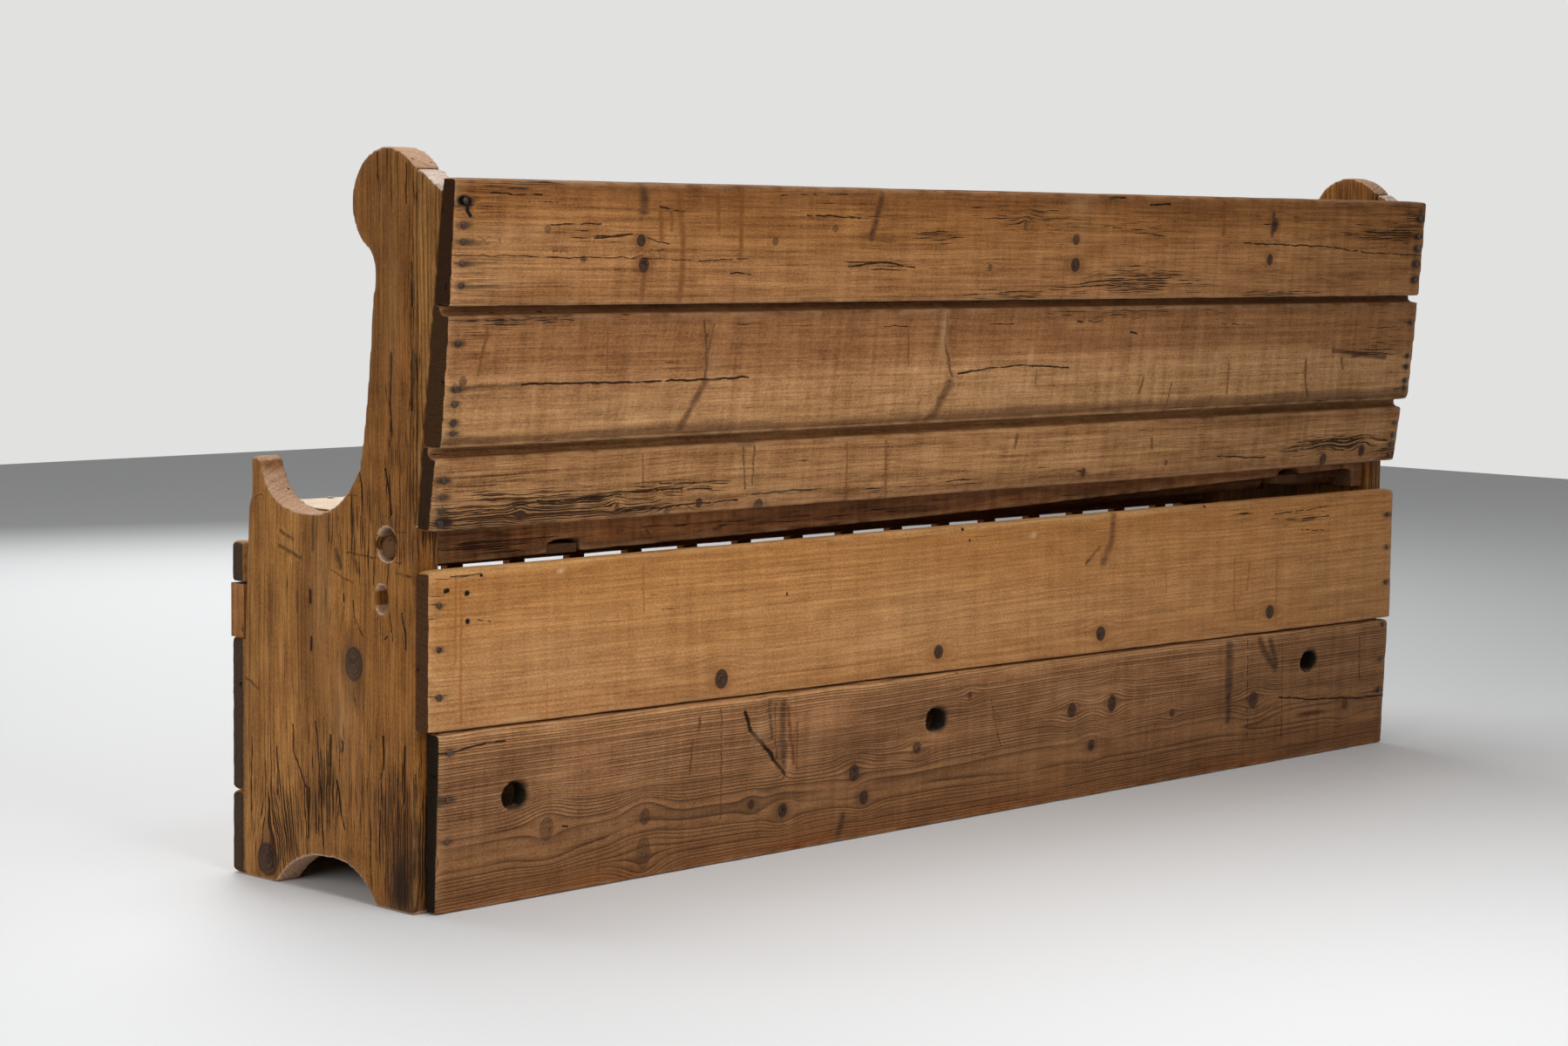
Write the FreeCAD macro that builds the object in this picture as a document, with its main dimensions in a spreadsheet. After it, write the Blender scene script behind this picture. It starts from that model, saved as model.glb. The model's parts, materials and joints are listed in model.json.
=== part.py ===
import FreeCAD, Part
import os
import re

import Sketcher

# Box settle of the monks bench kind: two shaped end planks, a raked back of three boards nailed on
# wedge strips, a storage box with a slatted front, and a lift-up seat that swings on two wooden pegs.
# X runs along the bench, -Y is the sitter's side, +Z is up. The origin is at the middle of the
# bounding box, on the floor.

doc = FreeCAD.newDocument("monks_bench")
sheet = doc.addObject("Spreadsheet::Sheet", "sizes")
Vector = FreeCAD.Vector
ALONG_X = Vector(1, 0, 0)
ALONG_Y = Vector(0, 1, 0)
ALONG_Z = Vector(0, 0, 1)

# Driving sizes in mm, angles in degrees
SIZES = {
    # Whole bench
    "half_length": 950,  # from the middle to the outer face of an end plank
    "seat_height": 444,  # top of the closed seat
    "arris_round": 2.5,  # worn round of the long board edges
    # End planks
    "panel_thickness": 36,  # end planks
    "panel_depth": 321,  # front to rear edge of an end plank
    "front_upright": 254,  # height of the plumb part of the front edge
    "hook_foot_depth": 12,  # front edge at seat height, from the front
    "hook_foot_rise": 2,  # above the seat
    "hook_neck_depth": 18,  # small set-back below the hook
    "hook_neck_rise": 13,  # above the seat
    "hook_nose_depth": 16.5,  # nose of the hook
    "hook_nose_rise": 47,  # above the seat
    "hook_top_depth": 24,  # blunt tip of the hook
    "hook_top_rise": 60,  # above the seat
    "hook_brow_depth": 33,  # start of the fall into the dip
    "hook_brow_rise": 54,  # above the seat
    "dip_fall_depth": 54,  # middle of the fall from the hook into the dip
    "dip_fall_rise": 19.5,  # above the seat
    "dip_front_depth": 90,  # front end of the dip's floor
    "dip_front_rise": 2.5,  # above the seat
    "dip_floor_setback": 200,  # lowest point of the dip, from the rear edge
    "dip_floor_drop": 1.5,  # below the seat top
    "dip_rear_setback": 150,  # rear end of the dip's floor
    "dip_rear_rise": 8,  # above the seat
    "dip_climb_setback": 118,  # middle of the climb to the stile
    "dip_climb_rise": 32,  # above the seat
    "stile_foot_setback": 95.5,  # start of the stile's front edge, from the rear edge
    "stile_foot_rise": 80,  # above the seat
    "stile_waist_setback": 84,  # stile at arm height
    "stile_waist_rise": 161,  # above the seat
    "stile_head_setback": 77,  # under the ear
    "stile_head_rise": 251,  # above the seat
    "ear_root_setback": 72,  # deepest point under the ear
    "ear_root_rise": 279,  # above the seat
    "ear_lip_setback": 81,  # start of the ear's round
    "ear_lip_rise": 302,  # above the seat
    "ear_chin_setback": 104,  # underside of the ear
    "ear_chin_rise": 322,  # above the seat
    "ear_nose_setback": 114.3,  # foremost point of the ear
    "ear_nose_rise": 354,  # above the seat
    "ear_brow_setback": 100,  # round above the nose of the ear
    "ear_brow_rise": 396,  # above the seat
    "ear_top_setback": 56,  # highest point of the ear
    "ear_top_rise": 419,  # above the seat
    "ear_crown_setback": 24,  # fall behind the highest point
    "ear_crown_rise": 413,  # above the seat
    "ear_heel_rise": 395,  # rear corner of the plank above the seat
    "front_foot": 64,  # length of the front foot
    "rear_foot": 69,  # length of the rear foot
    "arch_front_depth": 101,  # foot arch, front haunch
    "arch_front_height": 30,  # foot arch, front haunch
    "arch_crown_depth": 158,  # foot arch, crown
    "arch_crown_height": 43,  # foot arch, crown
    "arch_rear_setback": 99,  # foot arch, rear haunch
    "arch_rear_height": 30,  # foot arch, rear haunch
    # Old empty hole in the end planks
    "old_hole_setback": 61,  # centre of the empty hole, from the rear edge
    "old_hole_drop": 90,  # centre of the empty hole below the seat
    "old_hole_radius": 11.4,  # empty hole, across
    "old_hole_straight": 3.8,  # half of the straight side of the empty hole
    # Back
    "back_rake": 6.75,  # lean of the back in degrees
    "wedge_drop": 9,  # foot of the wedge strips below the seat
    "wedge_shoulder": 380,  # height of the wedge strip at its rear edge
    "wedge_crest_depth": 7,  # flat of the wedge strip's top
    "back_lift": 2.3,  # lowest back board above the wedge foot, along the rake
    "lower_board_width": 84.5,  # lowest back board
    "lower_board_foot": 23,  # its thickness at the foot
    "lower_board_head": 25,  # its thickness at the head
    "lower_tongue_height": 11.5,  # rebated tongue on its head
    "lower_tongue_thickness": 11,  # rebated tongue on its head
    "middle_board_width": 149,  # middle back board
    "middle_board_foot": 34,  # its thickness at the foot
    "middle_board_head": 30,  # its thickness at the head
    "middle_tongue_height": 8.8,  # rebated tongue on its head
    "middle_tongue_thickness": 13,  # rebated tongue on its head
    "top_board_width": 140.7,  # top back board
    "top_board_foot": 29,  # its thickness at the foot
    "top_board_head": 22,  # its thickness at the head
    # Rear boards below the back
    "rear_lower_height": 208,  # bottom rear board at its right end
    "rear_joint_fall": 16,  # fall of the joint between the rear boards, from right to left
    "rear_lower_round": 8,  # worn upper edge of the bottom rear board
    "rear_lower_head": 25,  # its thickness at the top
    "rear_lower_foot": 17,  # its thickness at the floor
    "rear_lower_short_left": 5,  # its left end short of the bench end
    "rear_lower_short_right": 15,  # its right end short of the bench end
    "rear_board_gap": 1.5,  # open joint between the rear boards
    "rear_upper_thickness": 24,  # upper rear board
    "rear_slot_drop": 52,  # its top below the seat
    "rear_corner_round": 9,  # rounded top corners of the upper rear board
    "vent_right_inset": 129,  # right vent hole from the right end of the bench
    "vent_right_height": 125,  # its height
    "vent_middle_shift": 97,  # middle vent hole from the middle of the bench
    "vent_middle_height": 140,  # its height
    "vent_left_inset": 213,  # left vent hole from the left end of the bench
    "vent_left_height": 143,  # its height
    "vent_radius": 15,  # vent holes
    # Front of the box
    "front_thickness": 24,  # front boards, rail and posts
    "front_lower_height": 100,  # bottom front board
    "front_upper_height": 185,  # upper front board
    "front_rail_height": 51,  # top rail of the front
    "post_width": 72,  # end posts of the slatted opening
    "slat_width": 26,  # slats, along the bench
    "slat_depth": 12.5,  # slats, across
    "slat_end_space": 54,  # middle of an end slat from its post
    "slat_count": 17,  # slats
    "tenon_length": 10,  # slats into rail and board
    "joint_clearance": 0.2,  # round tenons and tongues
    # Box floor
    "floor_height": 67,  # underside of the box floor
    "floor_thickness": 18,  # box floor boards
    "floor_clearance": 0.5,  # box floor from the walls
    "floor_joint": 1,  # open joint between floor boards
    "cleat_thickness": 24,  # floor cleats, along the bench
    "cleat_height": 22,  # floor cleats and batten
    "cleat_inset": 20,  # floor cleats from the edges of the end plank
    "floor_batten_width": 60,  # batten under the middle of the floor
    # Seat
    "seat_thickness": 22,  # seat boards
    "seat_side_gap": 2,  # seat from the end planks, each side
    "seat_rest_gap": 0.3,  # closed seat above the front rail
    "seat_front_width": 144,  # front seat board
    "seat_joint": 1,  # open joint between the seat boards
    "seat_round": 6,  # worn front edge of the seat
    "lip_height": 21.7,  # batten under the front of the seat
    "lip_depth": 24,  # batten under the front of the seat
    "lip_setback": 2,  # batten from the front of the seat
    "lip_end_gap": 10,  # batten from the ends of the seat
    "batten_width": 48,  # cross battens under the seat
    "batten_height": 26,  # cross battens under the seat
    "batten_inset": 192,  # middle of a cross batten from the end of the seat
    # Pivot rail
    "rail_depth": 64,  # pivot rail, front to rear
    "rail_height": 50,  # pivot rail at its right end
    "rail_clearance": 7,  # pivot rail from the rear boards
    "rail_round": 12,  # rounded upper rear edge of the pivot rail
    "rail_rise_middle": 10,  # waney underside of the rail, at the middle
    "rail_rise_left": 30,  # waney underside of the rail, at the left end
    "rail_lug": 32,  # full-height end that carries the left peg
    "notch_right_height": 18,  # top of the right notch above the rail's underside
    "notch_left_height": 36,  # top of the left notch above the rail's underside
    "tongue_right_base": 0,  # tongue of the right batten above its underside
    "tongue_right_height": 10,  # tongue of the right batten
    "tongue_left_base": 13,  # tongue of the left batten above its underside
    "tongue_left_height": 12,  # tongue of the left batten
    "tongue_short": 6,  # tongues short of the rail's rear face
    # Pegs and their holes
    "pivot_setback": 51.2,  # peg centre from the rear edge of the end planks
    "pivot_drop": 31.3,  # peg centre below the seat top
    "peg_radius": 14.4,  # pivot pegs
    "peg_recess": 2,  # peg ends below the outer faces of the end planks
    "peg_hole_radius": 18.5,  # worn holes for the pegs
    "peg_rest_gap": 0.3,  # peg above the bottom of its hole
    # Nails
    "nail_head": 9,  # nail heads, across
    "nail_crown": 4,  # top of a nail head, across
    "nail_rise": 1.4,  # nail heads above the wood
    "nail_shank": 4,  # nail shanks under the head
    "nail_point": 1.5,  # nail shanks at the tip
    "nail_inset": 16,  # nails from the ends of the boards that they hold
    "board_nail": 60,  # length of the nails through back, rear and front boards
    "seat_nail": 38,  # length of the nails through seat and floor boards
}
for row, (alias, value) in enumerate(SIZES.items(), 1):
    sheet.set("A%d" % row, alias)
    sheet.set("B%d" % row, str(value))
    sheet.setAlias("B%d" % row, alias)
doc.recompute()


def formula(text):
    """An expression on the sheet: every name with an underscore is one of its sizes."""
    return re.sub(r"\b([a-z]+_[a-z_]*[a-z])\b", r"sizes.\1", text)


def amount(text):
    """The number that a signed sum of sizes, such as "seat_height - wedge_drop", stands for."""
    total, sign = 0.0, 1.0
    for word in text.split():
        if word in ("+", "-"):
            sign = 1.0 if word == "+" else -1.0
        else:
            total += sign * (0.0 if word == "0" else float(sheet.get(word)))
    return total


# How far the show face of a back board leans within its section
SHOW_FACE_DEPTH = 10

# Places that several pieces share
HALF = "half_length"
INNER = "(half_length - panel_thickness)"
BOARD_STACK = "lower_board_width + lower_tongue_height + middle_board_width + middle_tongue_height"
BACK_TOP = "(back_lift + " + BOARD_STACK + " + top_board_width)"
REAR_REACH = "(" + BACK_TOP + " * sin(back_rake) + top_board_head * cos(back_rake))"
FRONT_REACH = "(front_thickness + nail_rise)"
FRONT = "((" + FRONT_REACH + " - panel_depth - " + REAR_REACH + ") / 2)"
REAR = "(" + FRONT + " + panel_depth)"
WEDGE_FOOT = "(seat_height - wedge_drop)"
FRONT_RAIL_TOP = "(seat_height - seat_thickness - lip_height - seat_rest_gap)"
SLAT_FOOT = "(front_lower_height + front_upper_height)"
SLAT_HEAD = "(" + FRONT_RAIL_TOP + " - front_rail_height)"
REAR_UPPER_FOOT = "(rear_lower_height + rear_board_gap - rear_joint_fall)"
REAR_UPPER_TOP = "(seat_height - rear_slot_drop)"
SEAT_HALF = "(" + INNER + " - seat_side_gap)"
SEAT_UNDER = "(seat_height - seat_thickness)"
SEAT_FRONT = "(" + FRONT + " - front_thickness)"
RAIL_REAR = "(" + REAR + " - rail_clearance)"
RAIL_FRONT = "(" + RAIL_REAR + " - rail_depth)"
RAIL_UNDER = "(seat_height - rail_height)"
PIVOT_Y = "(" + REAR + " - pivot_setback)"
PIVOT_Z = "(seat_height - pivot_drop)"
SLAT_PITCH = "(2 * (half_length - post_width - slat_end_space) / (slat_count - 1))"
BATTEN_OFFSET = "(" + SEAT_HALF + " - batten_inset)"
REAR_LOWER_LENGTH = "(2 * half_length - rear_lower_short_left - rear_lower_short_right)"
SIDES = (("right", 1), ("left", -1))


def place(piece, x="0", y="0", z="0"):
    """Binds the corner or centre at which a piece is placed."""
    piece.setExpression("Placement.Base.x", formula(x))
    piece.setExpression("Placement.Base.y", formula(y))
    piece.setExpression("Placement.Base.z", formula(z))


def new_body(label):
    body = doc.addObject("PartDesign::Body", label)
    body.Label = label
    return body


def new_sketch(body, plane, name):
    """A sketch on one of the body's own origin planes."""
    support = [item for item in body.Origin.OriginFeatures if item.Role == plane][0]
    sketch = body.newObject("Sketcher::SketchObject", body.Label + "_" + name)
    sketch.AttachmentSupport = [(support, "")]
    sketch.MapMode = "FlatFace"
    return sketch


def fixed_point(edge, end, across, up):
    """The two rules that tie a point of a sketch to formulas, measured from the sketch's origin."""
    return [("DistanceX", (-1, 1, edge, end), across), ("DistanceY", (-1, 1, edge, end), up)]


def constrain(sketch, rules, start_value=lambda text: 1.0):
    """Adds rules to a sketch in one go, then binds those that carry a formula."""
    made = []
    for kind, points, text in rules:
        value = () if text is None else (start_value(text),)
        made.append(Sketcher.Constraint(kind, *points, *value))
    first = sketch.ConstraintCount
    sketch.addConstraint(made)
    for number, (kind, points, text) in enumerate(rules, first):
        if text is not None:
            sketch.setExpression("Constraints[%d]" % number, formula(text))


def polygon(sketch, corners):
    """A closed outline of straight edges, counter-clockwise, each corner two formulas."""
    start = 10 * ALONG_X
    step = 360.0 / len(corners)
    spots = [FreeCAD.Rotation(ALONG_Z, step * i).multVec(start) for i in range(len(corners))]
    rules = []
    for i, spot in enumerate(spots):
        following = (i + 1) % len(spots)
        sketch.addGeometry(Part.LineSegment(spot, spots[following]), False)
        rules.append(("Coincident", (i, 2, following, 1), None))
        rules += fixed_point(i, 1, *corners[i])
    constrain(sketch, rules)


def rectangle(sketch, width, height):
    polygon(sketch, [("0", "0"), (width, "0"), (width, height), ("0", height)])


def curved_outline(sketch, steps):
    """A closed outline of lines and arcs. A step is the end of a line, or an arc's middle and end."""
    ends = [Vector(amount(step[-2]), amount(step[-1]), 0) for step in steps]
    tails = []
    for i, step in enumerate(steps):
        begin, end = ends[i - 1], ends[i]
        curve, tail = Part.LineSegment(begin, end), 2
        if len(step) == 4:
            middle = Vector(amount(step[0]), amount(step[1]), 0)
            anticlockwise = (middle - begin).cross(end - begin).z > 0
            curve = Part.Arc(begin, middle, end) if anticlockwise else Part.Arc(end, middle, begin)
            tail = 2 if anticlockwise else 1
        sketch.addGeometry(curve, False)
        tails.append(tail)
    rules = []
    for i, step in enumerate(steps):
        following = (i + 1) % len(steps)
        rules.append(("Coincident", (i, tails[i], following, 3 - tails[following]), None))
        rules += fixed_point(i, tails[i], step[-2], step[-1])
        if len(step) == 4:
            spot = Part.Point(Vector(amount(step[0]), amount(step[1]), 0))
            middle = sketch.addGeometry(spot, True)
            rules += fixed_point(middle, 1, step[0], step[1])
            rules.append(("PointOnObject", (middle, 1, i), None))
    constrain(sketch, rules, amount)


def circle(sketch, across, up, radius):
    """A circle by the formulas of its centre and radius."""
    start = Part.Circle(Vector(1, 1, 0), ALONG_Z, 1)
    number = sketch.addGeometry(start, False)
    constrain(sketch, fixed_point(number, 3, across, up) + [("Radius", (number,), radius)])


def pad(body, sketch, length, symmetric=False):
    feature = body.newObject("PartDesign::Pad", body.Label + "_pad")
    feature.Profile = sketch
    feature.setExpression("Length", formula(length))
    if symmetric:
        feature.SideType = "Symmetric"
    doc.recompute()
    return feature


def cut_through(body, sketch):
    """A pocket through the whole piece, both ways from its sketch."""
    feature = body.newObject("PartDesign::Pocket", sketch.Label + "_cut")
    feature.Profile = sketch
    feature.SideType = "Symmetric"
    feature.Type = "ThroughAll"
    doc.recompute()
    return feature


def cut_box(body, name, corner, extent):
    """A rectangular cut, placed by its low corner."""
    feature = body.newObject("PartDesign::SubtractiveBox", body.Label + "_" + name)
    for side, text in zip(("Length", "Width", "Height"), extent):
        feature.setExpression(side, formula(text))
    place(feature, *corner)
    doc.recompute()
    return feature


def edges_along(feature, direction, keep=lambda middle: True, slant=0.05):
    """Names of the straight edges that run along a direction, and that keep() wants."""
    names = []
    for number, edge in enumerate(feature.Shape.Edges, 1):
        run = edge.Vertexes[-1].Point - edge.Vertexes[0].Point
        straight = run.Length > 0 and run.cross(direction).Length < slant * run.Length
        if straight and keep(edge.CenterOfMass):
            names.append("Edge%d" % number)
    return names


def soften(body, feature, edges, radius="arris_round"):
    """Rounds edges, as hands and wear have done."""
    fillet = body.newObject("PartDesign::Fillet", body.Label + "_round")
    fillet.Base = (feature, edges)
    fillet.setExpression("Radius", formula(radius))
    doc.recompute()
    return fillet


def board(label, corner, extent, grain=ALONG_X):
    """A sawn board of rectangular section, its edges along the grain slightly rounded."""
    body = new_body(label)
    sketch = new_sketch(body, "XY_Plane", "plan")
    rectangle(sketch, extent[0], extent[1])
    block = pad(body, sketch, extent[2])
    soften(body, block, edges_along(block, grain))
    place(body, *corner)
    return body


def end_panel(side, x):
    """A shaped end plank with hook, dip, stile, ear and foot arch, and its two holes."""
    body = new_body("end_panel_" + side)
    seat, rear = "seat_height + ", "panel_depth - "
    outline = [
        ("0", "0"),
        ("0", "front_upright"),
        ("hook_foot_depth", seat + "hook_foot_rise"),
        ("hook_neck_depth", seat + "hook_neck_rise"),
        ("hook_nose_depth", seat + "hook_nose_rise"),
        ("hook_top_depth", seat + "hook_top_rise", "hook_brow_depth", seat + "hook_brow_rise"),
        ("dip_fall_depth", seat + "dip_fall_rise", "dip_front_depth", seat + "dip_front_rise"),
        (rear + "dip_floor_setback", "seat_height - dip_floor_drop",
         rear + "dip_rear_setback", seat + "dip_rear_rise"),
        (rear + "dip_climb_setback", seat + "dip_climb_rise",
         rear + "stile_foot_setback", seat + "stile_foot_rise"),
        (rear + "stile_waist_setback", seat + "stile_waist_rise",
         rear + "stile_head_setback", seat + "stile_head_rise"),
        (rear + "ear_root_setback", seat + "ear_root_rise",
         rear + "ear_lip_setback", seat + "ear_lip_rise"),
        (rear + "ear_chin_setback", seat + "ear_chin_rise",
         rear + "ear_nose_setback", seat + "ear_nose_rise"),
        (rear + "ear_brow_setback", seat + "ear_brow_rise",
         rear + "ear_top_setback", seat + "ear_top_rise"),
        (rear + "ear_crown_setback", seat + "ear_crown_rise",
         "panel_depth", seat + "ear_heel_rise"),
        ("panel_depth", "0"),
        (rear + "rear_foot", "0"),
        (rear + "arch_rear_setback", "arch_rear_height",
         "arch_crown_depth", "arch_crown_height"),
        ("arch_front_depth", "arch_front_height", "front_foot", "0"),
    ]
    sketch = new_sketch(body, "YZ_Plane", "outline")
    curved_outline(sketch, outline)
    pad(body, sketch, "panel_thickness")

    hole = new_sketch(body, "YZ_Plane", "peg_hole")
    circle(hole, rear + "pivot_setback",
           "seat_height - pivot_drop + peg_hole_radius - peg_radius - peg_rest_gap",
           "peg_hole_radius")
    cut_through(body, hole)

    middle, level = rear + "old_hole_setback", "seat_height - old_hole_drop"
    near, far = middle + " - old_hole_radius", middle + " + old_hole_radius"
    low, high = level + " - old_hole_straight", level + " + old_hole_straight"
    oval = new_sketch(body, "YZ_Plane", "old_hole")
    curved_outline(oval, [
        (near, low),
        (middle, low + " - old_hole_radius", far, low),
        (far, high),
        (middle, high + " + old_hole_radius", near, high),
    ])
    cut_through(body, oval)
    place(body, x, FRONT)
    return body


def wedge_strip(side, x):
    """The tapering strip behind an end plank that gives the back its rake."""
    body = new_body("back_wedge_" + side)
    sketch = new_sketch(body, "YZ_Plane", "taper")
    crest = "(wedge_drop + ear_heel_rise)"
    polygon(sketch, [
        ("0", "0"),
        ("wedge_shoulder * tan(back_rake)", "wedge_shoulder"),
        ("wedge_crest_depth", crest),
        ("0", crest),
    ])
    pad(body, sketch, "panel_thickness")
    place(body, x, REAR, WEDGE_FOOT)
    return body


def back_board(label, start, corners):
    """A back board laid on the rake; start is its distance up the rake from the wedge foot."""
    body = new_body(label)
    sketch = new_sketch(body, "YZ_Plane", "section")
    polygon(sketch, corners)
    plank = pad(body, sketch, "2 * half_length")
    show_face = plank.Shape.BoundBox.YMax - SHOW_FACE_DEPTH
    soften(body, plank, edges_along(plank, ALONG_X, lambda middle: middle.y > show_face))
    body.Placement = FreeCAD.Placement(Vector(), FreeCAD.Rotation(-ALONG_X, 1))
    body.setExpression("Placement.Rotation.Angle", formula("back_rake"))
    place(body, "-" + HALF, REAR + " + (" + start + ") * sin(back_rake)",
          WEDGE_FOOT + " + (" + start + ") * cos(back_rake)")
    return body


def back_boards():
    lower_start = "back_lift"
    middle_start = lower_start + " + lower_board_width + lower_tongue_height"
    top_start = middle_start + " + middle_board_width + middle_tongue_height"
    back_board("back_board_lower", lower_start, tongued("lower"))
    back_board("back_board_middle", middle_start, tongued("middle"))
    back_board("back_board_top", top_start, [
        ("0", "0"), ("top_board_foot", "0"), ("top_board_head", "top_board_width"),
        ("0", "top_board_width")])


def tongued(name):
    """Section of a back board whose head carries a rebated tongue on the sitter's side."""
    width, head = name + "_board_width", name + "_board_head"
    thin, crown = name + "_tongue_thickness", width + " + " + name + "_tongue_height"
    return [("0", "0"), (name + "_board_foot", "0"), (head, width), (thin, width),
            (thin, crown), ("0", crown)]


def rear_boards():
    """The two boards that close the rear of the box; the joint between them falls to the left."""
    body = new_body("rear_board_upper")
    sketch = new_sketch(body, "XY_Plane", "plan")
    rectangle(sketch, "2 * half_length", "rear_upper_thickness")
    plank = pad(body, sketch, REAR_UPPER_TOP + " - " + REAR_UPPER_FOOT)
    top = plank.Shape.BoundBox.ZMax
    corners = edges_along(plank, ALONG_Y, lambda middle: middle.z > top - 1)
    soften(body, plank, corners, "rear_corner_round")
    below = new_sketch(body, "XZ_Plane", "joint")
    polygon(below, [("0", "0"), ("2 * half_length", "0 - rear_joint_fall"),
                    ("2 * half_length", "rear_joint_fall")])
    cut = cut_through(body, below)
    rear = cut.Shape.BoundBox.YMax
    soften(body, cut, edges_along(cut, ALONG_X, lambda middle: middle.y > rear - 1))
    place(body, "-" + HALF, REAR, REAR_UPPER_FOOT)

    body = new_body("rear_board_lower")
    sketch = new_sketch(body, "YZ_Plane", "section")
    polygon(sketch, [("0", "0"), ("rear_lower_foot", "0"),
                     ("rear_lower_head", "rear_lower_height"), ("0", "rear_lower_height")])
    pad(body, sketch, REAR_LOWER_LENGTH)
    above = new_sketch(body, "XZ_Plane", "joint")
    polygon(above, [("0 - rear_joint_fall", "rear_lower_height - rear_joint_fall"),
                    (REAR_LOWER_LENGTH, "rear_lower_height"),
                    ("0 - rear_joint_fall", "rear_lower_height + rear_joint_fall")])
    cut = cut_through(body, above)
    box = cut.Shape.BoundBox
    upper_rear = edges_along(
        cut, ALONG_X, lambda middle: middle.z > box.Center.z and middle.y > box.Center.y)
    soften(body, cut, upper_rear, "rear_lower_round")
    vents = new_sketch(body, "XZ_Plane", "vents")
    for across, up in (("2 * half_length - vent_right_inset", "vent_right_height"),
                       ("half_length + vent_middle_shift", "vent_middle_height"),
                       ("vent_left_inset", "vent_left_height")):
        circle(vents, across + " - rear_lower_short_left", up, "vent_radius")
    cut_through(body, vents)
    place(body, "-" + HALF + " + rear_lower_short_left", REAR, "0")


def slat_mortises(body, z):
    """A row of mortises along a front board, one for each slat."""
    first = "post_width + slat_end_space - slat_width / 2 - joint_clearance"
    mortise = cut_box(body, "mortise", (
        first, "(front_thickness - slat_depth) / 2 - joint_clearance", z),
        ("slat_width + 2 * joint_clearance", "slat_depth + 2 * joint_clearance",
         "tenon_length + joint_clearance"))
    row = body.newObject("PartDesign::LinearPattern", body.Label + "_mortises")
    row.Originals = [mortise]
    axis = [item for item in body.Origin.OriginFeatures if item.Role == "X_Axis"][0]
    row.Direction = (axis, [""])
    row.Mode = "Extent"
    row.setExpression("Length", formula("(slat_count - 1) * " + SLAT_PITCH))
    row.setExpression("Occurrences", formula("slat_count"))
    body.Tip = row
    doc.recompute()


def box_front():
    """Two boards, two posts, a row of slats and the top rail that the seat rests on."""
    front = SEAT_FRONT
    board("front_board_lower", ("-" + HALF, front, "0"),
          ("2 * half_length", "front_thickness", "front_lower_height"))
    upper = board("front_board_upper", ("-" + HALF, front, "front_lower_height"),
                  ("2 * half_length", "front_thickness", "front_upper_height"))
    slat_mortises(upper, "front_upper_height - tenon_length - joint_clearance")
    rail = board("front_top_rail", ("-" + HALF, front, SLAT_HEAD),
                 ("2 * half_length", "front_thickness", "front_rail_height"))
    slat_mortises(rail, "0")
    opening = SLAT_HEAD + " - " + SLAT_FOOT
    board("front_post_right", (HALF + " - post_width", front, SLAT_FOOT),
          ("post_width", "front_thickness", opening), ALONG_Z)
    board("front_post_left", ("-" + HALF, front, SLAT_FOOT),
          ("post_width", "front_thickness", opening), ALONG_Z)
    for number in range(int(sheet.get("slat_count"))):
        label = "front_slat_%02d" % (number + 1)
        slat = doc.addObject("Part::Box", label)
        slat.Label = label
        slat.setExpression("Length", formula("slat_width"))
        slat.setExpression("Width", formula("slat_depth"))
        slat.setExpression("Height", formula(opening + " + 2 * tenon_length"))
        place(slat, "(%d - (slat_count - 1) / 2) * %s - slat_width / 2" % (number, SLAT_PITCH),
              front + " + (front_thickness - slat_depth) / 2", SLAT_FOOT + " - tenon_length")


def box_floor():
    """Three floor boards on a cleat at each end, held together by a batten."""
    width = "((panel_depth - 2 * floor_clearance - 2 * floor_joint) / 3)"
    for number, name in enumerate(("front", "middle", "rear")):
        y = FRONT + " + floor_clearance + %d * (%s + floor_joint)" % (number, width)
        board("floor_board_" + name, ("-" + INNER + " + floor_clearance", y, "floor_height"),
              ("2 * " + INNER + " - 2 * floor_clearance", width, "floor_thickness"))
    cleat_y = FRONT + " + cleat_inset"
    cleat_z = "floor_height - cleat_height"
    cleat = ("cleat_thickness", "panel_depth - 2 * cleat_inset", "cleat_height")
    board("floor_cleat_right", (INNER + " - cleat_thickness", cleat_y, cleat_z), cleat, ALONG_Y)
    board("floor_cleat_left", ("-" + INNER, cleat_y, cleat_z), cleat, ALONG_Y)
    batten = ("floor_batten_width", "panel_depth - 2 * cleat_inset", "cleat_height")
    board("floor_batten", ("-floor_batten_width / 2", cleat_y, cleat_z), batten, ALONG_Y)


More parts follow.
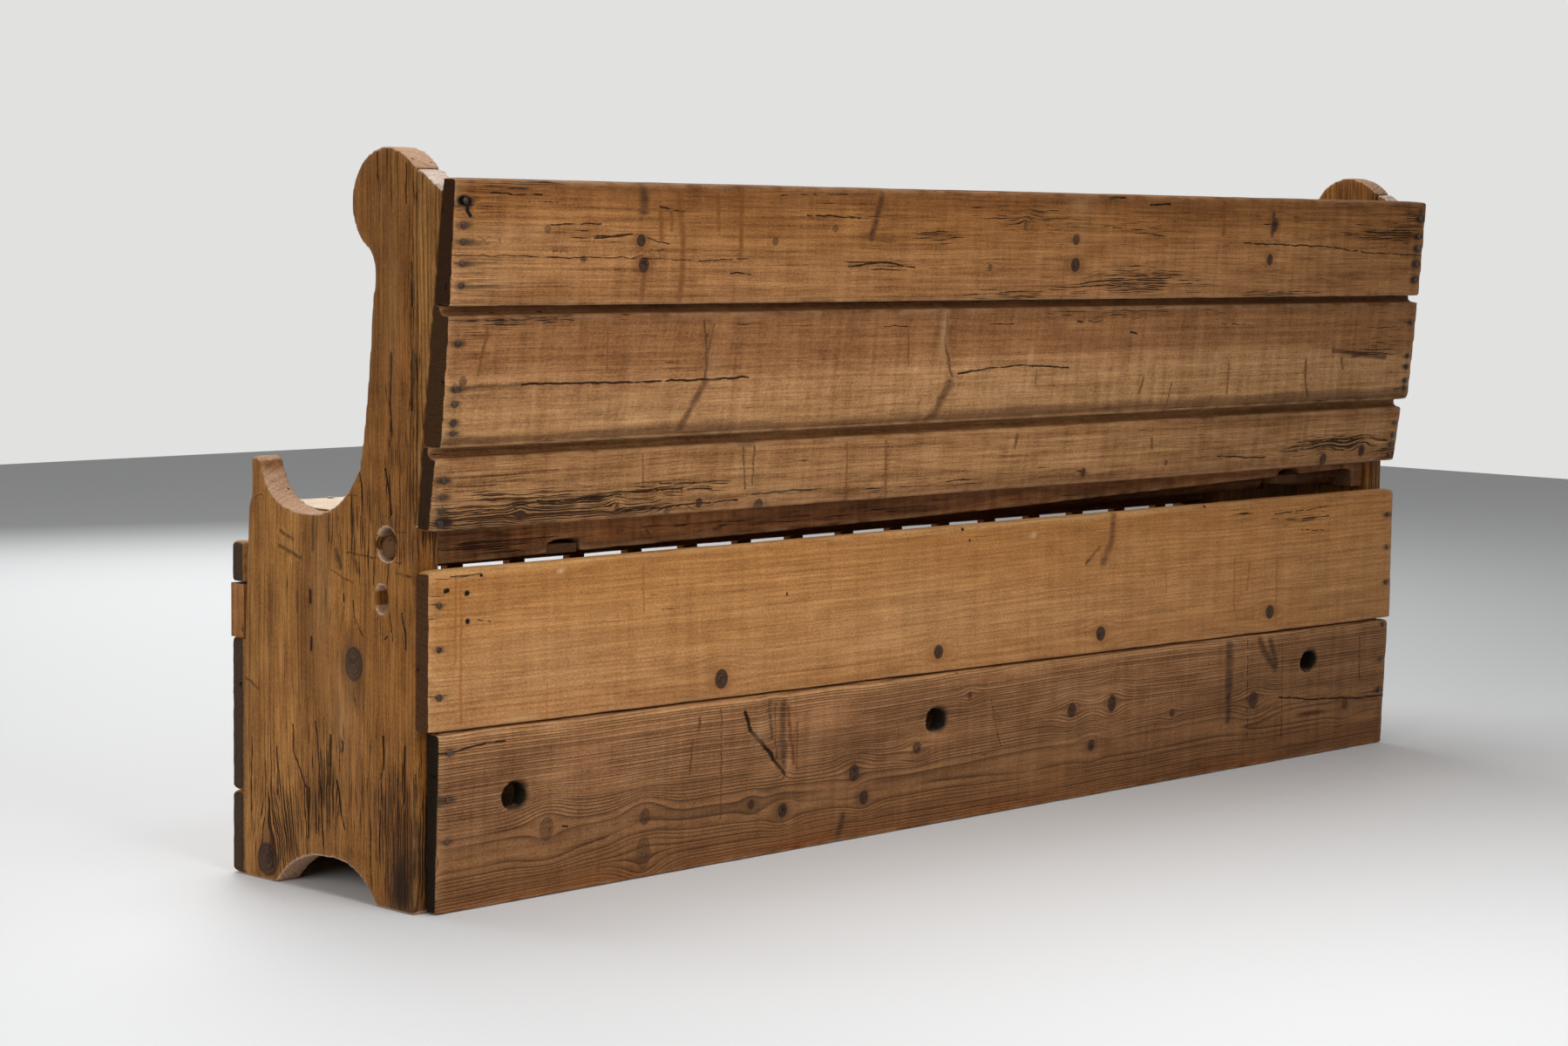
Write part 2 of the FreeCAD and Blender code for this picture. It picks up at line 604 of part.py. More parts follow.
def pivot_rail():
    """The rear member of the seat: waney below, notched for the battens, a round peg at each end."""
    body = new_body("seat_pivot_rail")
    sketch = new_sketch(body, "XZ_Plane", "elevation")
    polygon(sketch, [
        ("-" + SEAT_HALF, "0"),
        ("-" + SEAT_HALF + " + rail_lug", "0"),
        ("-" + SEAT_HALF + " + rail_lug", "rail_rise_left"),
        ("0", "rail_rise_middle"),
        (SEAT_HALF, "0"),
        (SEAT_HALF, "rail_height"),
        ("-" + SEAT_HALF, "rail_height"),
    ])
    bar = pad(body, sketch, "rail_depth", symmetric=True)
    box = bar.Shape.BoundBox
    upper_rear = edges_along(
        bar, ALONG_X, lambda middle: middle.z > box.ZMax - 1 and middle.y > box.YMax - 1)
    soften(body, bar, upper_rear, "rail_round")
    peg = body.newObject("PartDesign::AdditiveCylinder", "seat_pivot_rail_pegs")
    peg.setExpression("Radius", formula("peg_radius"))
    peg_length = "(2 * half_length - 2 * peg_recess)"
    peg.setExpression("Height", formula(peg_length))
    peg.Placement = FreeCAD.Placement(Vector(), FreeCAD.Rotation(ALONG_Y, 90))
    place(peg, "-" + peg_length + " / 2", PIVOT_Y + " - " + RAIL_FRONT + " - rail_depth / 2",
          "rail_height - pivot_drop")
    for side, sign in SIDES:
        left_edge = "%d * %s - batten_width / 2 - joint_clearance" % (sign, BATTEN_OFFSET)
        cut_box(body, "notch_" + side, (left_edge, "-rail_depth", "-rail_height"),
                ("batten_width + 2 * joint_clearance", "2 * rail_depth",
                 "rail_height + notch_%s_height" % side))
    doc.recompute()
    place(body, "0", RAIL_FRONT + " + rail_depth / 2", RAIL_UNDER)


def cross_batten(side, sign):
    """A batten under the seat boards, with a tongue that passes through the pivot rail."""
    body = new_body("seat_cross_batten_" + side)
    sketch = new_sketch(body, "YZ_Plane", "elevation")
    run = RAIL_FRONT + " - " + SEAT_FRONT + " - lip_setback - lip_depth"
    reach = run + " + rail_depth - tongue_short"
    base, height = "tongue_%s_base" % side, "tongue_%s_height" % side
    corners = [("0", "0"), (run, "0"), (run, base), (reach, base), (reach, base + " + " + height),
               (run, base + " + " + height), (run, "batten_height"), ("0", "batten_height")]
    if sheet.get(base) == 0:
        corners[1:4] = [(reach, "0")]
    polygon(sketch, corners)
    pad(body, sketch, "batten_width")
    place(body, "%d * %s - batten_width / 2" % (sign, BATTEN_OFFSET),
          SEAT_FRONT + " + lip_setback + lip_depth", SEAT_UNDER + " - batten_height")


def seat():
    """The lift-up seat: two boards and the pivot rail, held by battens underneath."""
    length = "2 * " + SEAT_HALF
    rear_width = RAIL_FRONT + " - " + SEAT_FRONT + " - seat_front_width - 2 * seat_joint"
    body = new_body("seat_board_front")
    sketch = new_sketch(body, "XY_Plane", "plan")
    rectangle(sketch, length, "seat_front_width")
    plank = pad(body, sketch, "seat_thickness")
    box = plank.Shape.BoundBox
    nosing = edges_along(
        plank, ALONG_X, lambda middle: middle.z > box.ZMax - 1 and middle.y < box.YMin + 1)
    soften(body, plank, nosing, "seat_round")
    place(body, "-" + SEAT_HALF, SEAT_FRONT, SEAT_UNDER)
    board("seat_board_rear",
          ("-" + SEAT_HALF, SEAT_FRONT + " + seat_front_width + seat_joint", SEAT_UNDER),
          (length, rear_width, "seat_thickness"))
    board("seat_front_batten",
          ("-" + SEAT_HALF + " + lip_end_gap", SEAT_FRONT + " + lip_setback",
           SEAT_UNDER + " - lip_height"),
          (length + " - 2 * lip_end_gap", "lip_depth", "lip_height"))
    pivot_rail()
    for side, sign in SIDES:
        cross_batten(side, sign)


# Where nails go, as shares of the height, depth or length of the piece that they hold
NAIL_LEVELS = {
    "back_board_lower": (0.12, 0.3, 0.48, 0.7),
    "back_board_middle": (0.12, 0.2, 0.34, 0.45, 0.79),
    "back_board_top": (0.17, 0.34, 0.51, 0.64, 0.83),
    "rear_board_upper": (0.28, 0.55, 0.8),
    "rear_board_lower": (0.4, 0.63, 0.89),
    "front_board_lower": (0.25, 0.75),
    "front_board_upper": (0.15, 0.5, 0.85),
    "front_post_right": (0.5,),
    "front_top_rail": (0.3, 0.7),
    "floor_board": (0.3, 0.7),
    "seat_board": (0.35, 0.75),
    "seat_front_batten": (0.05, 0.35, 0.65, 0.95),
}


def frustum(low_side, low_z, high_side, high_z):
    """A square taper between two heights."""
    wires = []
    for side, z in ((low_side, low_z), (high_side, high_z)):
        half = side / 2
        ring = [Vector(-half, -half, z), Vector(half, -half, z), Vector(half, half, z),
                Vector(-half, half, z), Vector(-half, -half, z)]
        wires.append(Part.makePolygon(ring))
    return Part.makeLoft(wires, True, True)


def nails(label, length_name, spots):
    """A group of wrought nails; each spot is the point under the head and the way out of the wood."""
    head = frustum(sheet.get("nail_head"), 0, sheet.get("nail_crown"), sheet.get("nail_rise"))
    shank = frustum(sheet.get("nail_point"), -sheet.get(length_name), sheet.get("nail_shank"), 0)
    one = head.fuse(shank)
    shapes = []
    for point, outward in spots:
        nail = one.copy()
        nail.Placement = FreeCAD.Placement(point, FreeCAD.Rotation(ALONG_Z, outward))
        shapes.append(nail)
    group = doc.addObject("Part::Feature", label)
    group.Label = label
    group.Shape = Part.makeCompound(shapes)


def nail_groups():
    """Nails where boards meet the end planks, the cleats and the battens."""
    solid = {item.Label: item.Shape for item in doc.Objects if hasattr(item, "Shape")}
    nail_x = sheet.get("half_length") - sheet.get("nail_inset")

    spots = []
    for name in ("lower", "middle", "top"):
        placement = doc.getObject("back_board_" + name).Placement
        foot, head = sheet.get(name + "_board_foot"), sheet.get(name + "_board_head")
        width = sheet.get(name + "_board_width")
        outward = placement.Rotation.multVec(Vector(0, width, foot - head).normalize())
        for level in NAIL_LEVELS["back_board_" + name]:
            spot = placement.multVec(Vector(0, foot + (head - foot) * level, level * width))
            spots += [(Vector(x, spot.y, spot.z), outward) for x in (nail_x, -nail_x)]
    nails("back_board_nails", "board_nail", spots)

    rear = solid["rear_board_upper"].BoundBox
    spots = [(Vector(x, rear.YMax, rear.ZMin + level * rear.ZLength), ALONG_Y)
             for x in (nail_x, -nail_x) for level in NAIL_LEVELS["rear_board_upper"]]
    lower = solid["rear_board_lower"].BoundBox
    foot, head = sheet.get("rear_lower_foot"), sheet.get("rear_lower_head")
    slope = Vector(0, lower.ZLength, foot - head).normalize()
    inset = sheet.get("nail_inset")
    for x in (lower.XMax - inset, lower.XMin + inset):
        for level in NAIL_LEVELS["rear_board_lower"]:
            depth = lower.YMin + foot + (head - foot) * level
            spots.append((Vector(x, depth, level * lower.ZLength), slope))
    nails("rear_board_nails", "board_nail", spots)

    spots = []
    for name in ("front_board_lower", "front_board_upper", "front_post_right", "front_top_rail"):
        box = solid[name].BoundBox
        spots += [(Vector(x, box.YMin, box.ZMin + level * box.ZLength), -ALONG_Y)
                  for x in (nail_x, -nail_x) for level in NAIL_LEVELS[name]]
    nails("front_board_nails", "board_nail", spots)

    cleat_x = solid["floor_cleat_right"].BoundBox.Center.x
    spots = []
    for name in ("floor_board_front", "floor_board_middle", "floor_board_rear"):
        box = solid[name].BoundBox
        spots += [(Vector(x, box.YMin + level * box.YLength, box.ZMax), ALONG_Z)
                  for x in (cleat_x, 0, -cleat_x) for level in NAIL_LEVELS["floor_board"]]
    nails("floor_nails", "seat_nail", spots)

    batten_x = solid["seat_cross_batten_right"].BoundBox.Center.x
    top = sheet.get("seat_height")
    spots = []
    for name in ("seat_board_front", "seat_board_rear"):
        box = solid[name].BoundBox
        spots += [(Vector(x, box.YMin + level * box.YLength, top), ALONG_Z)
                  for x in (batten_x, -batten_x) for level in NAIL_LEVELS["seat_board"]]
    lip = solid["seat_front_batten"].BoundBox
    spots += [(Vector(lip.XMin + level * lip.XLength, lip.Center.y, top), ALONG_Z)
              for level in NAIL_LEVELS["seat_front_batten"]]
    nails("seat_nails", "seat_nail", spots)


end_panel("right", HALF + " - panel_thickness")
end_panel("left", "-" + HALF)
wedge_strip("right", HALF + " - panel_thickness")
wedge_strip("left", "-" + HALF)
back_boards()
rear_boards()
box_front()
box_floor()
seat()
doc.recompute()
nail_groups()
doc.recompute()

for item in doc.Objects:
    if "Invalid" in item.State or "Error" in item.State:
        raise RuntimeError("%s failed: %s" % (item.Label, item.State))

KINDS = ("PartDesign::Body", "Part::Box", "Part::Feature")
pieces = [item for item in doc.Objects if item.TypeId in KINDS]
for piece in pieces:
    if piece.Shape.isNull() or not piece.Shape.isValid():
        raise RuntimeError("%s has no valid shape" % piece.Label)

os.makedirs("parts", exist_ok=True)
for piece in pieces:
    piece.Shape.exportStep(os.path.join("parts", piece.Label + ".step"))
    box = piece.Shape.BoundBox
    print("%-26s %d solid(s) %8.1f cm3  x %8.1f %8.1f  y %8.1f %8.1f  z %7.1f %7.1f" % (
        piece.Label, len(piece.Shape.Solids), piece.Shape.Volume / 1000,
        box.XMin, box.XMax, box.YMin, box.YMax, box.ZMin, box.ZMax))
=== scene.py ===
import json
import math
import random

import bmesh
import bpy
import numpy as np
from mathutils import Matrix, Vector


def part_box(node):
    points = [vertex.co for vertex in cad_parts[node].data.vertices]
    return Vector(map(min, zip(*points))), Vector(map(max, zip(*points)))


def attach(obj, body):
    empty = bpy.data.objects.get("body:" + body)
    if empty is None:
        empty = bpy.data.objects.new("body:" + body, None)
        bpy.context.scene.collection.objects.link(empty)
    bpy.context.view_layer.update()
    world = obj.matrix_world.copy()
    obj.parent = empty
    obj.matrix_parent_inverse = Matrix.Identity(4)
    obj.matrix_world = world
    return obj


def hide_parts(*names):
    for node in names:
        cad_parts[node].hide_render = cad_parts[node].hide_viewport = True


# Looks of an old pine box settle, seen from behind. Every length is in metres unless its name says
# MM or PX. The boards are fine meshes made from the solids that they stand for, rubbed down at their
# arrises and uneven on their faces. One wood shader draws rings, fibres, checks and knots in a frame
# of its own for each board: along the grain, across it, and into the wood.

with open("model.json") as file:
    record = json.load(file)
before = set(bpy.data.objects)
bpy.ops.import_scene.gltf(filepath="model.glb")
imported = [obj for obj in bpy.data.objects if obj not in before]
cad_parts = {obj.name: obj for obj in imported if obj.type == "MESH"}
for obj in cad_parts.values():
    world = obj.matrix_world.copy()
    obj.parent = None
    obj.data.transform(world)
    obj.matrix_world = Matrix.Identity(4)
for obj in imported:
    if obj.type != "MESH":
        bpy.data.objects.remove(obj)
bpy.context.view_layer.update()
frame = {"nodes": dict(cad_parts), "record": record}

MM = 0.001
X, Y, Z = Vector((1, 0, 0)), Vector((0, 1, 0)), Vector((0, 0, 1))

# The camera of the photograph, and its picture in pixels
PHOTO_WIDTH, PHOTO_HEIGHT = 1799, 1200
LENS_MM, SENSOR_MM = 74.52, 36.0
CAMERA_AT = Vector((3.24159, 2.94783, 0.77748))
CAMERA_YAW, CAMERA_PITCH, CAMERA_ROLL = map(math.radians, (44.273, 5.198, 0.6863))


def camera_axes():
    """Right, up and forward of the photograph's camera."""
    flat = math.cos(CAMERA_PITCH)
    forward = -Vector((math.cos(CAMERA_YAW) * flat, math.sin(CAMERA_YAW) * flat,
                       math.sin(CAMERA_PITCH)))
    level = forward.cross(Z).normalized()
    upright = level.cross(forward)
    right = math.cos(CAMERA_ROLL) * level + math.sin(CAMERA_ROLL) * upright
    return right, right.cross(forward), forward


def make_camera():
    right, up, forward = camera_axes()
    data = bpy.data.cameras.new("camera")
    data.lens, data.sensor_width = LENS_MM, SENSOR_MM
    camera = bpy.data.objects.new("camera", data)
    camera.matrix_world = Matrix((right, up, -forward)).transposed().to_4x4()
    camera.location = CAMERA_AT
    bpy.context.scene.collection.objects.link(camera)
    bpy.context.scene.camera = camera


def sight(px, py):
    """The direction in which the camera sees a pixel of the photograph."""
    right, up, forward = camera_axes()
    focal = LENS_MM / SENSOR_MM * PHOTO_WIDTH
    return (forward * focal + right * (px - PHOTO_WIDTH / 2) - up * (py - PHOTO_HEIGHT / 2))


class Grain:
    """A board's own frame: an origin on its show face, along the grain, across it, and outward."""

    def __init__(self, origin, along, across, outward, seed=0.0):
        self.origin, self.along, self.across, self.outward = origin, along, across, outward
        self.seed = seed

    def at_pixel(self, px, py):
        """Where a pixel of the photograph falls on the show face: along and across."""
        ray = sight(px, py)
        reach = (self.origin - CAMERA_AT).dot(self.outward) / ray.dot(self.outward)
        spot = CAMERA_AT + ray * reach - self.origin
        return spot.dot(self.along), spot.dot(self.across)

    def coordinates(self, points):
        axes = np.array([self.along, self.across, self.outward])
        return (points - np.array(self.origin)) @ axes.T


def show_face(node, towards, along, seed=0.0):
    """The frame of a node's largest flat face that looks the given way."""
    mesh = frame["nodes"][node].data
    groups = {}
    for polygon in mesh.polygons:
        if polygon.normal.dot(towards) > 0.7:
            key = tuple(round(value, 2) for value in polygon.normal)
            groups.setdefault(key, []).append(polygon)
    best = max(groups.values(), key=lambda members: sum(polygon.area for polygon in members))
    outward = best[0].normal.copy()
    across = outward.cross(along).normalized()
    if across.dot(Z) < 0 or (abs(across.z) < 0.5 and across.dot(Y) < 0):
        across.negate()
    low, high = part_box(node)
    middle = (low + high) / 2
    on_face = best[0].center
    origin = middle + outward * (on_face - middle).dot(outward)
    lowest = min((mesh.vertices[i].co - origin).dot(across)
                 for polygon in best for i in polygon.vertices)
    return Grain(origin + across * lowest, along, across, outward, seed)


# Noise and meshes

def noise(points, seed=0):
    """Smooth noise from -1 to 1, with lumps one unit apart."""
    cell = np.floor(points).astype(np.int64)
    part = points - cell
    part = part * part * (3 - 2 * part)
    total = np.zeros(len(points))
    for corner in np.ndindex(2, 2, 2):
        key = (cell + corner) @ np.array([73856093, 19349663, 83492791]) + seed * 15485863
        key = ((key ^ (key >> 13)) * 1274126177) & 0xFFFFFFFF
        value = ((key ^ (key >> 16)) & 0xFFFF) / 32767.5 - 1
        total += value * np.prod(np.where(corner, part, 1 - part), axis=1)
    return total


def rough(points, seed=0, octaves=3):
    """Noise with finer noise on it."""
    layers = [noise(points * 2 ** i, seed + i) / 2 ** i for i in range(octaves)]
    return sum(layers) / (2 - 2 / 2 ** octaves)


def fade(value, low, high):
    """From 0 at low to 1 at high, smoothly; low may be above high."""
    share = np.clip((value - low) / (high - low), 0, 1)
    return share * share * (3 - 2 * share)


def even_mesh(node, cell, stretch):
    """The node's shape as an even mesh of quads, their size longer along the grain by stretch."""
    body = bmesh.new()
    body.from_mesh(frame["nodes"][node].data)
    bmesh.ops.remove_doubles(body, verts=body.verts, dist=1e-5)
    squeeze = Matrix.Diagonal((1 / stretch.x, 1 / stretch.y, 1 / stretch.z, 1))
    bmesh.ops.transform(body, matrix=squeeze, verts=body.verts)
    coarse = bpy.data.meshes.new(node + "_coarse")
    body.to_mesh(coarse)
    body.free()
    holder = bpy.data.objects.new(node + "_holder", coarse)
    bpy.context.scene.collection.objects.link(holder)
    remesh = holder.modifiers.new("even", "REMESH")
    remesh.mode = "VOXEL"
    remesh.voxel_size = cell
    view = bpy.context.evaluated_depsgraph_get()
    mesh = bpy.data.meshes.new_from_object(holder.evaluated_get(view), depsgraph=view)
    mesh.transform(squeeze.inverted())
    bpy.data.objects.remove(holder)
    return mesh


def read(mesh, source, name, width):
    values = np.zeros(len(source) * width, np.float32)
    source.foreach_get(name, values)
    return values.reshape(-1, width).astype(float) if width > 1 else values.astype(float)


def mesh_arrays(mesh):
    points = read(mesh, mesh.vertices, "co", 3)
    normals = read(mesh, mesh.vertices, "normal", 3)
    edges = np.zeros(len(mesh.edges) * 2, np.int32)
    mesh.edges.foreach_get("vertices", edges)
    return points, normals, edges.reshape(-1, 2)


def spread(values, edges, rounds):
    """Averages values with their neighbours', a number of times."""
    first, second = edges.T
    count = len(values)
    ways = np.bincount(first, minlength=count) + np.bincount(second, minlength=count)
    for _ in range(rounds):
        near = (np.bincount(first, values[second], count)
                + np.bincount(second, values[first], count))
        values = (values + near / np.maximum(ways, 1)) / 2
    return values


def arris(points, normals, edges, width):
    """How near each point is to an outer arris, from 0 to 1, fading over about the width."""
    first, second = edges.T
    span = points[second] - points[first]
    bend = ((normals[second] - normals[first]) * span).sum(1) / (span ** 2).sum(1)
    count = len(points)
    ways = np.bincount(first, minlength=count) + np.bincount(second, minlength=count)
    total = np.bincount(first, bend, count) + np.bincount(second, bend, count)
    return np.clip(spread(total / np.maximum(ways, 1), edges, 4) * width, 0, 1)


def mark(mesh, name, values):
    """Keeps a value or a vector for each point of a mesh, for the wood shader."""
    if values.ndim == 1:
        mesh.attributes.new(name, "FLOAT", "POINT").data.foreach_set("value", values)
    else:
        kept = mesh.attributes.new(name, "FLOAT_VECTOR", "POINT")
        kept.data.foreach_set("vector", values.ravel())


# Marks: where a board is knotted, cracked, stained or worn. Each row starts with its place on the
# board, along and across the grain, and lengths are in metres.

def at_pixels(grain, *rows):
    """Rows that start with a pixel of the photograph, turned into places on the board."""
    return [(*grain.at_pixel(px, py), *(value * MM for value in sizes[:2]), *sizes[2:])
            for px, py, *sizes in rows]


def line(grain, width_mm, *pixels):
    """Straight strokes through pixels of the photograph, each with its two ends and its width."""
    spots = [grain.at_pixel(*pixel) for pixel in pixels]
    return [(*begin, *end, width_mm * MM) for begin, end in zip(spots, spots[1:])]


def patches(places, spots, seed):
    """Soft patches: each spot is its place, its two reaches and its strength."""
    total = np.zeros(len(places))
    ragged = 1 + 0.45 * rough(places * (60, 120, 60), seed)
    for along, across, length, height, strength in spots:
        a = (places[:, 0] - along) / length
        b = (places[:, 1] - across) / height
        total += strength * np.exp(-(a * a + b * b) * ragged)
    return total


def off_stroke(places, stroke):
    """How far each point lies from a stroke."""
    begin, end = np.array(stroke[:2]), np.array(stroke[2:4])
    run = end - begin
    share = np.clip((places[:, :2] - begin) @ run / max(run @ run, 1e-9), 0, 1)
    return np.hypot(*(places[:, :2] - begin - share[:, None] * run).T)


def gouged(places, gouges):
    """The depth of gouges; each is a stroke with its depth after it."""
    depth = np.zeros(len(places))
    on_face = fade(places[:, 2], -8 * MM, -3 * MM)
    for *stroke, deep in gouges:
        depth = np.maximum(depth, deep * fade(off_stroke(places, stroke), stroke[4], 0.0) * on_face)
    return depth


# The wood shader

def rgb(red, green, blue):
    """A colour given as it shows on a screen, from 0 to 255, as the shader wants it."""
    def straight(value):
        value /= 255
        return value / 12.92 if value <= 0.04045 else ((value + 0.055) / 1.055) ** 2.4
    return (straight(red), straight(green), straight(blue), 1.0)


class Tree:
    """Short calls for building a material's nodes."""

    def __init__(self, name):
        self.material = bpy.data.materials.new(name)
        self.material.use_nodes = True
        self.nodes = self.material.node_tree.nodes
        self.links = self.material.node_tree.links
        self.shader = self.nodes["Principled BSDF"]

    def put(self, socket, value):
        if isinstance(value, bpy.types.NodeSocket):
            self.links.new(value, socket)
        elif value is not None:
            socket.default_value = value

    def node(self, kind, **settings):
        made = self.nodes.new("ShaderNode" + kind)
        for name, value in settings.items():
            setattr(made, name, value)
        return made

    def math(self, operation, first, second=None, third=None, clamp=False):
        made = self.node("Math", operation=operation, use_clamp=clamp)
        for socket, value in zip(made.inputs, (first, second, third)):
            self.put(socket, value)
        return made.outputs[0]

    def times(self, first, second, clamp=False):
        return self.math("MULTIPLY", first, second, clamp=clamp)

    def muladd(self, first, second, third, clamp=False):
        return self.math("MULTIPLY_ADD", first, second, third, clamp)

    def vector(self, operation, first, second=None):
        made = self.node("VectorMath", operation=operation)
        self.put(made.inputs[0], first)
        self.put(made.inputs[1], second)
        return made.outputs["Value" if operation in ("DOT_PRODUCT", "LENGTH") else "Vector"]

    def scale(self, value, factor):
        made = self.node("VectorMath", operation="SCALE")
        self.put(made.inputs[0], value)
        self.put(made.inputs["Scale"], factor)
        return made.outputs["Vector"]

    def combine(self, x, y, z):
        made = self.node("CombineXYZ")
        for socket, value in zip(made.inputs, (x, y, z)):
            self.put(socket, value)
        return made.outputs[0]

    def fade(self, value, low, high, top=1.0):
        """From 0 at low to top at high, smoothly."""
        made = self.node("MapRange", interpolation_type="SMOOTHSTEP")
        for name, given in (("Value", value), ("From Min", low), ("From Max", high), ("To Max", top)):
            self.put(made.inputs[name], given)
        return made.outputs[0]

    def noise(self, place, detail=2.0, roughness=0.5, output="Fac"):
        made = self.node("TexNoise")
        self.put(made.inputs["Vector"], place)
        for name, given in (("Scale", 1.0), ("Detail", detail), ("Roughness", roughness)):
            self.put(made.inputs[name], given)
        return made.outputs[output]

    def mix(self, share, first, second, blend="MIX"):
        made = self.node("Mix", data_type="RGBA", blend_type=blend, clamp_factor=True)
        for number, value in ((0, share), (6, first), (7, second)):
            self.put(made.inputs[number], value)
        return made.outputs[2]

    def attribute(self, name, output="Fac"):
        made = self.node("Attribute", attribute_name=name)
        return made.outputs[output]


# What one piece of wood may say about itself; each board overrides some of it
PLAIN = {
    "bands": ((0.0, (170, 122, 74)),),  # colours across the board, from its low side to its high one
    "width": 0.15,                  # how wide the board is across the grain
    "late": rgb(112, 70, 36),       # the ring lines, and dark wood
    "cast": rgb(150, 98, 52),       # broad patches of another tone
    "end": rgb(70, 44, 26),         # end grain
    "end_from": 0.55,               # how far a face may turn from the grain before it is end grain
    "end_saw": 0.0,                 # marks of the saw on end grain
    "rings": 4.0 * MM,              # distance of the ring lines
    "pith": (0.03, -0.05),          # where the rings' middle lies: across, and outward of the face
    "ring_depth": 0.5,              # how dark the ring lines are
    "ridge": 0.3,                   # how far the ring lines stand up, weathered
    "waver": 14 * MM,               # how far the lines wander
    "fibre": 0.5,                   # contrast of the fibres
    "flecks": 0.3,                  # short dark flecks along the grain
    "checks": 0.0,                  # cracks along the grain, everywhere
    "saw": 0.0,                     # marks of the saw across the grain
    "saw_slant": 0.05,              # how far they lean
    "streaks": 0.12,                # vertical streaks left by water and hands
    "blotch": 0.5,                  # contrast of broad patches
    "rubbed": 0.35,                 # paling of arrises
    "edge": rgb(205, 165, 120),     # colour of rubbed arrises
    "gloss": 0.6,                   # roughness of the surface
    "bump": 0.7,                    # height of the relief in mm
    "drip": rgb(112, 66, 26),       # colour of runs of stain
    "smear_and_shadow": rgb(52, 33, 22),       # colour of dark marks, and of the painted soft shadows and painted shade in grooves
}
CHECK_DARK = rgb(26, 15, 8)
KNOT_CORE = rgb(70, 48, 36)
KNOT_RIM = rgb(38, 23, 15)
IRON_STAIN = rgb(40, 26, 18)
RUBBED = rgb(205, 165, 120)
# Near-black painted into holes, pits and vents: painted shade inside them
HOLE_SHADE = rgb(12, 8, 5)
RAGGED = 6 * MM                     # how far strokes wander from their lines
SKIN = 3 * MM                       # marks of the face fade out below this depth
CHECK_ROWS = ((2.6 * MM, 20.0, 41.0), (6.5 * MM, 8.0, 43.0))    # height, checks to the metre, seed


def colour_across(tree, share, bands):
    """A colour for each share of the board's width."""
    ramp = tree.node("ValToRGB")
    stops = ramp.color_ramp.elements
    stops.remove(stops[1])
    stops[0].position, stops[0].color = bands[0][0], rgb(*bands[0][1])
    for place, tone in bands[1:]:
        stops.new(place).color = rgb(*tone)
    tree.put(ramp.inputs["Fac"], share)
    return ramp.outputs["Color"]


def near_strokes(tree, place, strokes, edge=0.35):
    """How near each point lies to any of some strokes, from 0 to 1; a larger edge is softer."""
    near = 0.0
    for begin_u, begin_v, end_u, end_v, width in strokes:
        run = Vector((end_u - begin_u, end_v - begin_v, 0))
        beyond = tree.vector("SUBTRACT", place, (begin_u, begin_v, 0))
        share = tree.vector("DOT_PRODUCT", beyond, tuple(run / max(run.length_squared, 1e-9)))
        share = tree.math("MINIMUM", tree.math("MAXIMUM", share, 0.0), 1.0)
        far = tree.vector("LENGTH", tree.vector("SUBTRACT", beyond, tree.scale(tuple(run), share)))
        covered = tree.fade(far, width * (0.5 + edge / 2), width * (0.5 - edge / 2))
        near = tree.math("MAXIMUM", near, covered)
    return near


def near_knots(tree, u, v, knots):
    """Round knots: how far they push the grain aside, their halo, core and the rings in it."""
    push, halo, core, nearest = 0.0, 0.0, 0.0, 9.0
    for along, across, length, height, dark in knots:
        a = tree.muladd(u, 1 / length, -along / length)
        b = tree.muladd(v, 1 / height, -across / height)
        spot = tree.combine(a, b, 0.0)
        far = tree.vector("LENGTH", spot)
        lens = tree.vector("MULTIPLY", spot, (1 / 3.6, 1 / 2.2, 0))
        sunk = tree.times(tree.vector("DOT_PRODUCT", lens, lens), -1.0)
        close = tree.math("EXPONENT", sunk)
        push = tree.muladd(tree.times(close, b), -0.92 * height, push)
        halo = tree.math("MAXIMUM", halo, tree.times(close, dark))
        core = tree.math("MAXIMUM", core, tree.fade(far, 1.12, 0.86, dark))
        nearest = tree.math("MINIMUM", nearest, far)
    return push, halo, core, nearest


NO_MARKS = dict.fromkeys(("knots", "cracks", "drips", "smears_and_shadows", "holes", "gouges", "stains", "pales",
                          "checks", "tracks", "combs"), ())


